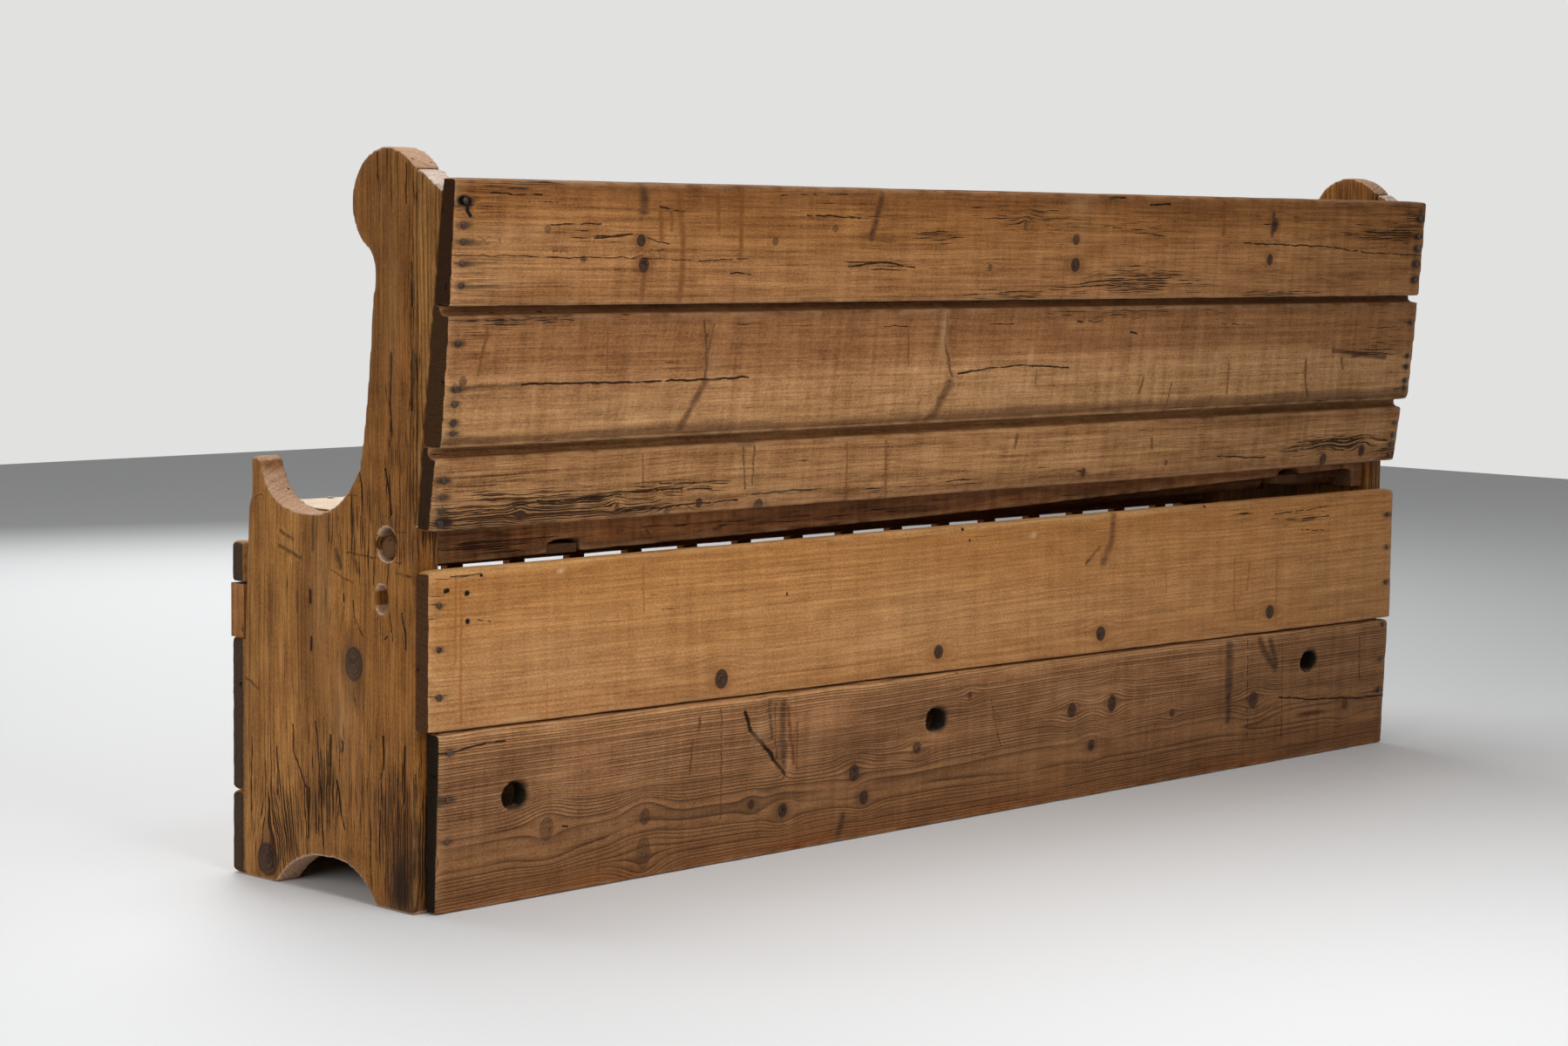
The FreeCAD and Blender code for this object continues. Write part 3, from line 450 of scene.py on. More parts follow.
def wood(name, grain, look, marks=NO_MARKS):
    """Old pine, drawn in a board's own frame."""
    look = {**PLAIN, **look}
    tree = Tree(name)
    math_, noise_, fade_, mix = tree.math, tree.noise, tree.fade, tree.mix
    times, muladd = tree.times, tree.muladd
    where = tree.node("TexCoord")
    from_origin = tree.vector("SUBTRACT", where.outputs["Object"], tuple(grain.origin))
    u = tree.vector("DOT_PRODUCT", from_origin, tuple(grain.along))
    v = tree.vector("DOT_PRODUCT", from_origin, tuple(grain.across))
    w = tree.vector("DOT_PRODUCT", from_origin, tuple(grain.outward))
    facing = math_("ABSOLUTE", tree.vector("DOT_PRODUCT", where.outputs["Normal"], tuple(grain.along)))
    is_end = fade_(facing, look["end_from"], look["end_from"] + 0.25)

    def at(along, across, shift=0.0):
        """The board's coordinates, each stretched by its own lumps to the metre."""
        s = grain.seed + shift
        return tree.combine(muladd(u, along, s), muladd(v, across, s),
                            muladd(w, across, s))

    def centred(value):
        return math_("SUBTRACT", value, 0.5)

    def toned(colour, tone):
        """The colour, lighter or darker; darker wood is also redder."""
        shade = tree.combine(tone, math_("POWER", tone, 1.18), math_("POWER", tone, 1.4))
        return mix(1.0, colour, shade, "MULTIPLY")

    # Rings round the pith, pushed aside by knots and wandering along the board
    push, halo, core, knot_far = near_knots(tree, u, v, marks["knots"])
    bent = math_("ADD", v, push)
    drift = centred(noise_(at(1.3, 3.5), 3.0))
    drift_in = centred(noise_(at(1.1, 2.5, 31.0), 2.0))
    ring_v = muladd(drift, look["waver"] * 4, math_("SUBTRACT", bent, look["pith"][0]))
    ring_w = muladd(drift_in, look["waver"] * 3, math_("SUBTRACT", w, look["pith"][1]))
    radius = tree.vector("LENGTH", tree.combine(ring_v, ring_w, 0.0))
    count = math_("DIVIDE", radius, look["rings"])
    uneven = noise_(tree.combine(times(count, 0.45), grain.seed, 0.0), 1.0)
    phase = math_("FRACT", muladd(uneven, 2.2, count))
    late = times(math_("POWER", phase, 2.4), fade_(phase, 1.0, 0.88))
    late = times(late, fade_(noise_(at(5.0, 40.0, 5.0)), 0.2, 0.55, 1.25), clamp=True)

    # Colour across the board, patches, rings, fibres, flecks and streaks
    patch = noise_(at(2.2, 9.0, 23.0), 3.0)
    mottle = noise_(at(14.0, 45.0, 27.0), 4.0, 0.6)
    share = muladd(v, 1 / look["width"], times(centred(patch), 0.25))
    colour = colour_across(tree, share, look["bands"])
    colour = mix(fade_(patch, 0.4, 0.68, look["blotch"]), colour, look["cast"])
    colour = mix(times(late, look["ring_depth"]), colour, look["late"])
    fibre = noise_(at(16.0, 950.0, 11.0), 3.0, 0.6)
    strand = noise_(at(3.0, 170.0, 17.0), 3.0, 0.6)
    fleck = fade_(noise_(at(30.0, 480.0, 29.0), 2.0, 0.6), 0.62, 0.72)
    streak = noise_(tree.combine(times(u, 75.0), times(v, 5.0), grain.seed), 3.0)
    contrast = muladd(tree.attribute("combs"), 1.2, look["fibre"])
    grit = noise_(at(260.0, 420.0, 83.0), 3.0, 0.7)
    tone = muladd(centred(fibre), times(contrast, 2.4), 1.0)
    tone = muladd(centred(grit), 1.25, tone)
    tone = muladd(centred(strand), times(contrast, 2.6), tone)
    tone = muladd(centred(mottle), look["blotch"] * 1.9, tone)
    tone = muladd(centred(streak), look["streaks"] * 4, tone)
    tone = times(tone, muladd(fleck, -look["flecks"], 1.0))
    height = muladd(late, look["ridge"], times(fibre, 0.35))

    # Marks of the saw across the grain
    if look["saw"]:
        leaning = muladd(v, look["saw_slant"], u)
        kerf = noise_(tree.combine(times(leaning, 380.0), times(v, 12.0),
                                   grain.seed), 2.0, 0.6)
        fuzz = noise_(at(500.0, 700.0, 37.0), 2.0, 0.7)
        both = math_("ADD", centred(kerf), centred(fuzz))
        tone = muladd(both, look["saw"], tone)
        height = muladd(both, look["saw"], height)
    colour = toned(colour, tone)

    # Dark marks, partly painted soft shadows and painted shade in gouged grooves, and runs of stain, drawn
    # with ragged sides
    warp = tree.vector("SUBTRACT", noise_(at(45.0, 80.0, 61.0), 3.0, 0.5, "Color"), (0.5, 0.5, 0.5))
    place = tree.vector("ADD", tree.combine(u, v, 0.0), tree.scale(warp, RAGGED))
    on_face = fade_(w, -3 * SKIN, -SKIN)
    for kind, tint, strength in (("smears_and_shadows", look["smear_and_shadow"], 0.62), ("drips", look["drip"], 0.6)):
        if marks[kind]:
            shown = times(near_strokes(tree, place, marks[kind], 0.8), on_face)
            shown = times(shown, muladd(strand, 1.4, strength - 0.65), clamp=True)
            colour = mix(shown, colour, tint)

    # Checks: short level cracks in rows that follow the grain
    wobble = times(centred(noise_(at(30.0, 90.0, 67.0), 2.0)), 5 * MM)
    followed = math_("ADD", muladd(drift, look["waver"], bent), wobble)
    wanted = math_("ADD", tree.attribute("checks"), look["checks"])
    crack = 0.0
    for row_height, to_metre, shift in CHECK_ROWS:
        row_place = math_("DIVIDE", math_("ADD", followed, times(w, 0.7)), row_height)
        row = math_("FLOOR", row_place)
        chance = tree.node("TexWhiteNoise", noise_dimensions="1D")
        tree.put(chance.inputs["W"], math_("ADD", row, grain.seed + shift))
        chance = chance.outputs["Value"]
        spot = math_("SUBTRACT", math_("FRACT", row_place), muladd(chance, 0.5, 0.25))
        reach = tree.combine(muladd(u, to_metre, times(chance, 97.0)),
                             times(row, 3.17), shift)
        opened = fade_(muladd(wanted, 0.25, noise_(reach, 1.0)), 0.70, 0.92)
        half = muladd(opened, 0.75 * MM / row_height, 0.0001)
        near = math_("DIVIDE", math_("ABSOLUTE", spot), half)
        crack = math_("MAXIMUM", crack, fade_(near, 1.25, 0.5))
    if marks["cracks"]:
        crack = math_("MAXIMUM", crack, times(near_strokes(tree, place, marks["cracks"]), on_face))
    if marks["tracks"]:
        squiggle = math_("ABSOLUTE", centred(noise_(at(110.0, 230.0, 71.0), 3.0)))
        crack = math_("MAXIMUM", crack, times(tree.attribute("tracks"), fade_(squiggle, 0.03, 0.012)))
    colour = mix(times(crack, 0.93), colour, CHECK_DARK)
    height = muladd(crack, -1.4, height)

    # Knots
    if marks["knots"]:
        uneven_far = muladd(centred(noise_(at(120.0, 120.0, 47.0), 2.0)), 0.35, knot_far)
        inside = times(times(core, fade_(uneven_far, 1.15, 0.95)), on_face)
        rim = times(inside, fade_(uneven_far, 0.66, 0.95))
        rings_in = times(inside, math_("POWER", math_("FRACT", times(uneven_far, 3.1)), 2.0))
        colour = mix(times(fade_(halo, 0.45, 0.95, 0.5), on_face), colour, look["late"])
        colour = mix(times(inside, 0.92), colour, KNOT_CORE)
        colour = mix(times(math_("MAXIMUM", rings_in, rim), 0.75), colour, KNOT_RIM)
        star = fade_(math_("ABSOLUTE", centred(noise_(at(60.0, 60.0, 73.0), 3.0))), 0.03, 0.01)
        star = times(times(inside, star), fade_(uneven_far, 0.8, 0.5))
        colour = mix(star, colour, CHECK_DARK)
        height = muladd(rim, -0.8, height)

    # Iron stains, worn pale places, rubbed arrises, and holes, these painted near-black as the shade inside
    # them
    stain = muladd(centred(strand), 0.9, tree.attribute("stain"))
    stain = times(fade_(muladd(centred(mottle), 0.7, stain), 0.2, 0.95), 0.9)
    colour = mix(stain, colour, IRON_STAIN)
    pale = times(tree.attribute("pale"), muladd(mottle, 1.2, 0.1), clamp=True)
    colour = mix(pale, colour, RUBBED)
    rim_here = times(tree.attribute("arris"), fade_(noise_(at(30.0, 60.0, 53.0), 3.0), 0.3, 0.65))
    colour = mix(times(rim_here, look["rubbed"]), colour, look["edge"])
    if marks["holes"]:
        hole = near_strokes(tree, place, marks["holes"])
        colour = mix(hole, colour, HOLE_SHADE)
        height = muladd(hole, -2.0, height)

    # End grain: open and rough, the rings showing as arcs
    pores = noise_(at(420.0, 420.0, 59.0), 4.0, 0.75)
    end_tone = muladd(pores, 1.7, muladd(late, -0.3, 0.25))
    if look["end_saw"]:
        across_plank = muladd(w, 0.6, v)
        sawn = noise_(tree.combine(times(across_plank, 330.0), times(w, 25.0),
                                   grain.seed), 2.0)
        end_tone = muladd(centred(sawn), look["end_saw"], end_tone)
    pit = fade_(noise_(at(90.0, 90.0, 79.0), 2.0), 0.70, 0.76)
    end_tone = times(end_tone, muladd(pit, -0.8, 1.0))
    cut = mix(1.0, look["end"], tree.combine(end_tone, end_tone, end_tone), "MULTIPLY")
    colour = mix(is_end, colour, cut)
    height = muladd(times(is_end, pores), 1.8, height)

    tree.put(tree.shader.inputs["Base Color"], colour)
    gloss = muladd(centred(strand), 0.3, look["gloss"])
    gloss = muladd(math_("MAXIMUM", is_end, crack), 0.35, gloss, clamp=True)
    tree.put(tree.shader.inputs["Roughness"], gloss)
    bump = tree.node("Bump")
    bump.inputs["Strength"].default_value = 1.0
    bump.inputs["Distance"].default_value = look["bump"] * MM
    tree.put(bump.inputs["Height"], height)
    tree.put(tree.shader.inputs["Normal"], bump.outputs["Normal"])
    tree.shader.inputs["Specular IOR Level"].default_value = 0.12
    return tree.material


# Nails

NAIL_RISE = 1.4 * MM      # how far the heads stand out


def nail_places():
    """Each nail's place under its head, the way out of the wood, and its group."""
    found = []
    for group, piece in frame["nodes"].items():
        if not group.endswith("_nails"):
            continue
        body = bmesh.new()
        body.from_mesh(piece.data)
        bmesh.ops.remove_doubles(body, verts=body.verts, dist=1e-5)
        left = set(body.verts)
        while left:
            island, border = set(), [left.pop()]
            while border:
                vertex = border.pop()
                island.add(vertex)
                border += [edge.other_vert(vertex) for edge in vertex.link_edges
                           if edge.other_vert(vertex) not in island]
            left -= island
            spots = [vertex.co.copy() for vertex in island]
            middle = sum(spots, Vector()) / len(spots)
            farthest = max((spot - middle).length for spot in spots)
            tip = [spot for spot in spots if (spot - middle).length > farthest - 1 * MM]
            point = sum(tip, Vector()) / len(tip)
            outward = (middle - point).normalized()
            length = max((spot - point).dot(outward) for spot in spots)
            found.append((point + outward * (length - NAIL_RISE), outward, group, length - NAIL_RISE))
        body.free()
    found.sort(key=lambda nail: (nail[2], round(nail[0].x, 4), round(nail[0].y, 4), round(nail[0].z, 4)))
    return found


NAILS = nail_places()


# Worn boards

FACE_WEAR, ARRIS_WEAR, END_WEAR = 0.3 * MM, 1.1 * MM, 0.8 * MM
ARRIS_WIDTH = 9 * MM
NAIL_STAIN = (14 * MM, 5.5 * MM, 0.8)    # its reach along and across the grain, and its strength
NAIL_NEAR = 4 * MM                       # a nail this near a show face stains it
BODY_OF = {node: body for body, members in frame["record"]["behaviour"]["bodies"].items()
           for node in members}


def worn(node, grain, look, marks=NO_MARKS, cell=2.6 * MM, length_ratio=3.2, wear=1.0, shape=None):
    """A board as age has left it: a fine mesh that stands for the node, with its own wood."""
    marks = {**NO_MARKS, **marks}
    stretch = Vector([1 + (length_ratio - 1) * abs(value) for value in grain.along])
    mesh = even_mesh(node, cell, stretch)
    points, normals, edges = mesh_arrays(mesh)
    places = grain.coordinates(points)
    seed = int(grain.seed)
    rim = arris(points, normals, edges, ARRIS_WIDTH)
    facing_end = np.abs(normals @ np.array(grain.along))

    loss = FACE_WEAR * (1 + rough(places * (9, 45, 45) + grain.seed, seed))
    chips = np.clip(rough(places * (22, 60, 60), seed + 3), 0, 1)
    loss += wear * rim * (0.4 + 1.6 * chips) * ARRIS_WEAR
    loss += facing_end * END_WEAR * (1 + noise(places * (1, 260, 260), seed + 5)) / 2
    loss += gouged(places, marks["gouges"])
    if shape is not None:
        loss = loss + shape(places, normals, rim)
    loss = spread(np.maximum(loss, 0), edges, 1)
    points -= normals * loss[:, None]
    mesh.vertices.foreach_set("co", points.astype(np.float32).ravel())

    stains = list(marks["stains"])
    for point, outward, group, length in NAILS:
        along, across, off = grain.coordinates(np.array([point]))[0]
        if outward.dot(grain.outward) > 0.9 and abs(off) < NAIL_NEAR:
            stains.append((along, across, *NAIL_STAIN))
    mark(mesh, "arris", rim)
    mark(mesh, "stain", patches(places, stains, seed + 7))
    for name, kind in (("pale", "pales"), ("checks", "checks"), ("tracks", "tracks"), ("combs", "combs")):
        mark(mesh, name, patches(places, marks[kind], seed + 9))
    mesh.shade_smooth()
    mesh.materials.clear()
    mesh.materials.append(wood(node + "_wood", grain, look, marks))
    piece = bpy.data.objects.new(node + "_worn", mesh)
    bpy.context.scene.collection.objects.link(piece)
    stand_for(piece, node)
    return piece


def stand_for(piece, node):
    """Makes a piece take a node's place, on its body."""
    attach(piece, BODY_OF[node])
    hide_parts(node)


# The long boards, from the top down, with the marks that the photograph shows. Strokes are rows of a
# width in mm and pixels of the photograph; spots are a pixel, two reaches in mm and a strength.

STROKE_KINDS = ("cracks", "drips", "smears_and_shadows", "holes", "crease", "ridges", "splinter", "hollow")


def placed(grain, marks_px):
    """Marks given in pixels, laid on a board."""
    return {kind: [stroke for row in rows for stroke in line(grain, *row)] if kind in STROKE_KINDS
            else at_pixels(grain, *rows) for kind, rows in marks_px.items()}


def carved(strokes, width_mm, depth_mm):
    """Gouges along strokes, all of one width and depth."""
    return [(*stroke[:4], width_mm * MM, depth_mm * MM) for stroke in strokes]


TOP_MARKS_PX = dict(
    knots=[(736, 276, 7, 7, 1), (739, 304, 8, 9, 1), (629, 263, 5, 5, 0.5), (670, 297, 5, 4, 0.6),
        (890, 277, 5, 5, 0.6), (959, 262, 5, 5, 0.5), (1235, 275, 7, 7, 0.9), (1234, 304, 9, 9, 1),
        (1463, 258, 8, 10, 0.8), (1457, 298, 7, 8, 0.9), (1177, 259, 4, 6, 0.5), (1136, 307, 4, 5, 0.6)],
    cracks=[(1.6, (563, 221), (590, 223), (623, 224)), (1.0, (607, 231), (648, 232)),
        (1.8, (633, 259), (660, 257), (690, 257)), (2.0, (683, 273), (726, 268)),
        (1.4, (743, 273), (770, 281)), (1.8, (757, 238), (785, 242)),
        (1.3, (513, 293), (640, 295), (735, 296), (790, 299), (860, 297)), (1.3, (897, 224), (973, 223)),
        (1.8, (927, 247), (987, 250)), (2.2, (973, 306), (1010, 301), (1050, 307)),
        (1.6, (838, 313), (862, 314)), (1.3, (570, 352), (598, 351)), (1.1, (1267, 261), (1287, 262)),
        (3.4, (1273, 227), (1292, 227)), (3.0, (1320, 235), (1343, 234)),
        (1.8, (1427, 279), (1520, 283), (1570, 290), (1640, 294))],
    drips=[(9, (778, 214), (784, 270), (783, 320), (778, 351)), (7, (759, 240), (759, 273)),
        (5, (771, 243), (771, 263)), (7, (824, 222), (825, 262)), (7, (852, 212), (850, 297)),
        (8, (740, 310), (736, 351)), (8, (1405, 233), (1404, 268))],
    # The smears are dark marks painted as soft-sided shadows
    smears_and_shadows=[(13, (739, 208), (740, 240)), (10, (1013, 223), (1005, 255), (1000, 272)),
        (8, (1462, 245), (1460, 270))],
    # The ragged hole is painted near-black as the shade inside it
    holes=[(11, (532, 230), (539, 232)), (5, (539, 234), (537, 243), (540, 248))],
    stains=[(535, 238, 14, 14, 0.5), (548, 303, 26, 4, 0.6), (550, 280, 24, 4, 0.5),
        (1625, 300, 16, 60, 0.5), (1632, 240, 12, 20, 0.6), (670, 297, 40, 7, 0.4)],
    pales=[(560, 320, 40, 24, 0.3), (585, 270, 70, 14, 0.2), (1240, 240, 20, 26, 0.3)],
    combs=[(545, 325, 40, 30, 1.0), (545, 230, 40, 18, 0.7)],
    tracks=[(566, 276, 34, 4, 1.0), (757, 288, 22, 4, 1.0), (640, 288, 30, 3, 0.8)],
    checks=[(600, 212, 90, 8, 0.9), (1140, 216, 120, 8, 1.3), (1175, 250, 110, 14, 1.1),
        (1085, 272, 70, 8, 1.2), (1310, 322, 130, 18, 1.5), (1325, 262, 90, 16, 0.9),
        (1390, 218, 150, 8, 1.0), (1590, 270, 120, 14, 1.4), (1480, 252, 60, 10, 1.0),
        (1460, 338, 140, 7, 1.2), (1160, 340, 120, 9, 1.1), (1620, 240, 40, 50, 1.0),
        (980, 248, 80, 6, 0.8), (1010, 304, 90, 8, 0.9), (700, 272, 60, 6, 0.8)])
TOP_LOOK = dict(
    bands=((0.0, (160, 112, 70)), (0.45, (166, 116, 70)), (0.72, (152, 102, 56)), (0.95, (122, 76, 38)),
           (1.0, (104, 64, 32))),
    width=0.1407, late=rgb(100, 58, 26), cast=rgb(132, 84, 40), rings=4.6 * MM, pith=(0.08, -0.03),
    ring_depth=0.25, fibre=0.55, saw=0.22, saw_slant=-0.12, streaks=0.14, gloss=0.66,
    end=rgb(52, 30, 14), checks=0.12)


def top_board():
    grain = show_face("back_board_top", Y, X, 3.0)
    marks = placed(grain, TOP_MARKS_PX)
    marks["gouges"] = carved(marks["holes"][:1], 12, 5)
    worn("back_board_top", grain, TOP_LOOK, marks)


MIDDLE_MARKS_PX = dict(
    crease=[(2.6, (600, 441), (663, 440), (747, 438), (808, 436), (860, 433)),
        (1.8, (860, 433), (913, 429), (963, 427), (1013, 431), (1093, 430)),
        (2.2, (1100, 429), (1137, 423), (1177, 419), (1227, 422)),
        (1.2, (1227, 422), (1267, 427), (1353, 418), (1410, 414), (1493, 417))],
    cracks=[(1.2, (530, 369), (580, 367), (640, 365)), (2.4, (1237, 369), (1243, 370)),
        (1.2, (1243, 370), (1275, 367)), (1.2, (1137, 372), (1165, 372)), (2.2, (1297, 381), (1305, 383)),
        (1.2, (1015, 375), (1043, 374)), (1.1, (1403, 371), (1435, 373)), (1.4, (1600, 446), (1630, 445))],
    smears_and_shadows=[(3.4, (809, 368), (812, 400), (810, 433)), (2.4, (820, 372), (815, 400), (811, 433)),
        (9, (810, 439), (797, 462), (782, 490)), (5, (535, 446), (555, 444), (600, 441)),
        (4, (1093, 433), (1085, 395), (1088, 362)), (13, (1090, 440), (1076, 468), (1064, 488)),
        (4, (1313, 433), (1308, 450)), (5, (1499, 412), (1498, 436), (1501, 455)),
        (3, (1345, 440), (1338, 468)), (3, (1190, 425), (1189, 440)), (7, (1530, 402), (1590, 410)),
        (4, (1540, 412), (1541, 422))],
    drips=[(4, (561, 377), (553, 412), (549, 430)), (3, (1043, 385), (1043, 420)),
        (4, (1411, 418), (1408, 450)), (3, (698, 378), (697, 425))],
    knots=[(532, 438, 6, 6, 0.5), (1320, 413, 5, 5, 0.3)],
    stains=[(535, 447, 22, 5, 0.5), (1560, 405, 70, 8, 0.35), (1300, 478, 30, 4, 0.3)],
    pales=[(820, 420, 10, 16, 0.35), (1150, 450, 60, 20, 0.2), (720, 470, 120, 16, 0.15),
        (1183, 411, 5, 8, 0.8), (1216, 410, 5, 7, 0.7), (1320, 412, 8, 8, 0.8), (1395, 407, 4, 6, 0.8),
        (1083, 385, 6, 30, 0.7), (1502, 409, 6, 8, 0.6)],
    combs=[(545, 380, 50, 30, 0.5)],
    checks=[(620, 366, 140, 7, 1.2), (1300, 357, 260, 6, 1.1), (1570, 403, 60, 10, 1.4),
        (1600, 380, 60, 30, 0.8), (700, 508, 120, 5, 1.0), (1520, 460, 100, 6, 0.9),
        (950, 372, 120, 5, 0.7)],
    ridges=[(5, (1081, 358), (1086, 390), (1094, 428)), (5, (1181, 402), (1183, 416)),
        (5, (1214, 403), (1216, 416)), (7, (1317, 404), (1322, 420)), (4, (1393, 402), (1397, 412)),
        (8, (1500, 404), (1503, 414))])
MIDDLE_LOOK = dict(
    bands=((0.0, (112, 78, 48)), (0.07, (128, 92, 60)), (0.11, (172, 128, 84)), (0.42, (176, 130, 86)),
           (0.53, (166, 118, 76)), (0.60, (148, 101, 62)), (0.88, (142, 96, 58)), (1.0, (98, 62, 36))),
    width=0.149, late=rgb(118, 78, 46), cast=rgb(146, 100, 60), rings=4 * MM, pith=(0.2, -0.05),
    ring_depth=0.2, fibre=0.42, saw=0.34, saw_slant=0.38, streaks=0.2, blotch=0.4, gloss=0.7,
    end=rgb(64, 42, 22), checks=0.06, smear_and_shadow=rgb(66, 38, 22))


def middle_board():
    grain = show_face("back_board_middle", Y, X, 7.0)
    marks = placed(grain, MIDDLE_MARKS_PX)
    crease, ridges = marks.pop("crease"), marks.pop("ridges")
    marks["cracks"] = crease[:4] + crease[8:11] + marks["cracks"]
    # The first smears are gouged into V-shaped grooves too; their dark is painted shade in the grooves
    forks = [(*stroke[:4], stroke[4] * 1.6, 1.2 * MM) for stroke in marks["smears_and_shadows"][:7]]
    marks["gouges"] = carved(crease, 5, 1.3) + forks

    def turned_down_lip(places, normals, rim):
        """The board's lower edge is hewn round."""
        outer = np.clip(normals @ np.array(grain.outward), 0, 1)
        lip = fade(places[:, 1], 11 * MM, 1 * MM) * 4 * MM * outer
        raised = sum(fade(off_stroke(places, stroke), stroke[4], 0.0) for stroke in ridges)
        return lip + 0.8 * MM * outer * (1 - np.clip(raised, 0, 1))

    worn("back_board_middle", grain, MIDDLE_LOOK, marks, shape=turned_down_lip)


LOWER_MARKS_PX = dict(
    cracks=[(2.2, (617, 575), (650, 574), (713, 567)), (1.8, (590, 580), (640, 573)),
        (1.8, (713, 587), (780, 580), (847, 573)), (1.5, (757, 555), (797, 554)),
        (1.6, (752, 562), (817, 561)), (2.2, (863, 567), (905, 564), (942, 561)),
        (1.8, (1397, 524), (1453, 525)), (1.6, (1490, 508), (1560, 503)),
        (2.6, (873, 588), (925, 589), (975, 586)), (1.5, (540, 588), (600, 582))],
    smears_and_shadows=[(3, (853, 512), (855, 560)), (3, (866, 512), (863, 556)), (7, (849, 509), (866, 508)),
        (6, (1167, 500), (1165, 512)), (5, (1322, 503), (1322, 514)), (7, (504, 598), (516, 602))],
    drips=[(3, (972, 508), (971, 577)), (4, (1017, 506), (1016, 592)), (3, (738, 520), (738, 560))],
    knots=[(870, 581, 8, 9, 1), (802, 577, 5, 6, 0.9), (765, 590, 6, 7, 0.7), (597, 591, 4, 5, 0.9),
        (708, 582, 4, 5, 0.6), (1243, 542, 5, 6, 0.9), (1338, 531, 4, 4, 0.6), (1518, 527, 8, 9, 0.9),
        (1562, 517, 8, 9, 0.9), (1489, 574, 4, 4, 0.5)],
    stains=[(510, 600, 16, 10, 0.7), (505, 552, 14, 8, 0.4), (560, 560, 60, 20, 0.25),
        (859, 540, 8, 28, 0.35), (1600, 520, 20, 20, 0.4)],
    pales=[(900, 560, 60, 12, 0.2), (1400, 545, 100, 10, 0.2)],
    combs=[(560, 545, 90, 20, 0.6)],
    checks=[(610, 582, 150, 22, 1.6), (560, 600, 80, 12, 1.4), (770, 560, 90, 10, 1.0),
        (720, 585, 100, 10, 1.1), (1020, 562, 100, 5, 0.8), (1530, 510, 130, 14, 1.7),
        (1090, 552, 90, 6, 0.8), (1590, 530, 40, 20, 1.2)])
LOWER_LOOK = dict(
    bands=((0.0, (136, 94, 60)), (0.25, (164, 119, 76)), (0.6, (172, 126, 81)), (1.0, (150, 104, 63))),
    width=0.0845, late=rgb(96, 62, 38), cast=rgb(128, 88, 54), rings=4.2 * MM, pith=(0.02, -0.03),
    ring_depth=0.35, fibre=0.55, saw=0.2, saw_slant=0.05, streaks=0.16, gloss=0.72,
    end=rgb(52, 34, 20), checks=0.18)


def lower_board():
    grain = show_face("back_board_lower", Y, X, 11.0)
    marks = placed(grain, LOWER_MARKS_PX)
    marks["gouges"] = carved(marks["cracks"][:3] + marks["cracks"][6:9], 5, 1.6)
    worn("back_board_lower", grain, LOWER_LOOK, marks, cell=2.4 * MM)


UPPER_REAR_MARKS_PX = dict(
    knots=[(828, 779, 11, 12, 1), (1077, 748, 9, 9, 1), (1263, 727, 10, 10, 1), (1457, 702, 10, 10, 1)],
    cracks=[(1.4, (490, 693), (506, 694)), (1.4, (548, 711), (564, 713)), (1.2, (493, 711), (510, 708)),
        (1.6, (485, 801), (503, 800)), (1.0, (760, 699), (780, 697)), (1.6, (1463, 590), (1523, 581)),
        (1.8, (1495, 595), (1525, 592)), (1.4, (1493, 608), (1520, 608)), (1.1, (1384, 625), (1397, 622)),
        (1.6, (517, 663), (552, 657))],
    holes=[(5, (511, 679), (514, 678)), (6, (536, 680), (537, 680)), (6, (536, 713), (537, 713)),
        (4, (552, 660), (553, 660)), (4, (1104, 608), (1105, 608)), (3, (1112, 621), (1113, 621)),
        (3, (903, 680), (903, 682)), (4, (1382, 581), (1383, 581))],
    smears_and_shadows=[(12, (1278, 592), (1276, 620), (1266, 645)), (5, (1262, 628), (1246, 646))],
    drips=[(4, (523, 662), (523, 760)), (4, (529, 670), (529, 830)), (3, (738, 652), (739, 701)),
        (3, (1338, 656), (1338, 680)), (5, (1434, 646), (1431, 676)), (3, (1466, 640), (1463, 715)),
        (2.5, (628, 785), (628, 830)), (4, (1417, 640), (1416, 700))],
    stains=[(1600, 690, 24, 60, 0.3), (1600, 600, 30, 20, 0.35)],
    pales=[(643, 655, 4, 2.5, 1.6), (1185, 614, 5, 4, 1.6), (1300, 625, 24, 16, 0.25),
        (600, 824, 30, 4, 0.5), (640, 740, 90, 40, 0.12), (1050, 690, 80, 40, 0.12)],
    checks=[(1490, 595, 90, 12, 1.2), (535, 660, 40, 4, 1.3), (1430, 588, 60, 6, 0.8),
        (504, 700, 14, 40, 0.5)])
UPPER_REAR_LOOK = dict(
    bands=((0.0, (170, 118, 70)), (0.3, (184, 134, 84)), (0.7, (182, 128, 74)), (0.95, (172, 118, 64)),
           (1.0, (196, 148, 92))),
    width=0.1985, late=rgb(140, 90, 48), cast=rgb(166, 112, 58), rings=6.2 * MM, pith=(-0.02, -0.035),
    ring_depth=0.55, ridge=0.15, waver=9 * MM, fibre=0.3, flecks=0.14, streaks=0.1, blotch=0.35,
    gloss=0.5, end=rgb(72, 46, 26), bump=0.5, drip=rgb(150, 92, 36), smear_and_shadow=rgb(86, 52, 34))


def upper_rear_board():
    grain = show_face("rear_board_upper", Y, X, 17.0)
    worn("rear_board_upper", grain, UPPER_REAR_LOOK, placed(grain, UPPER_REAR_MARKS_PX))


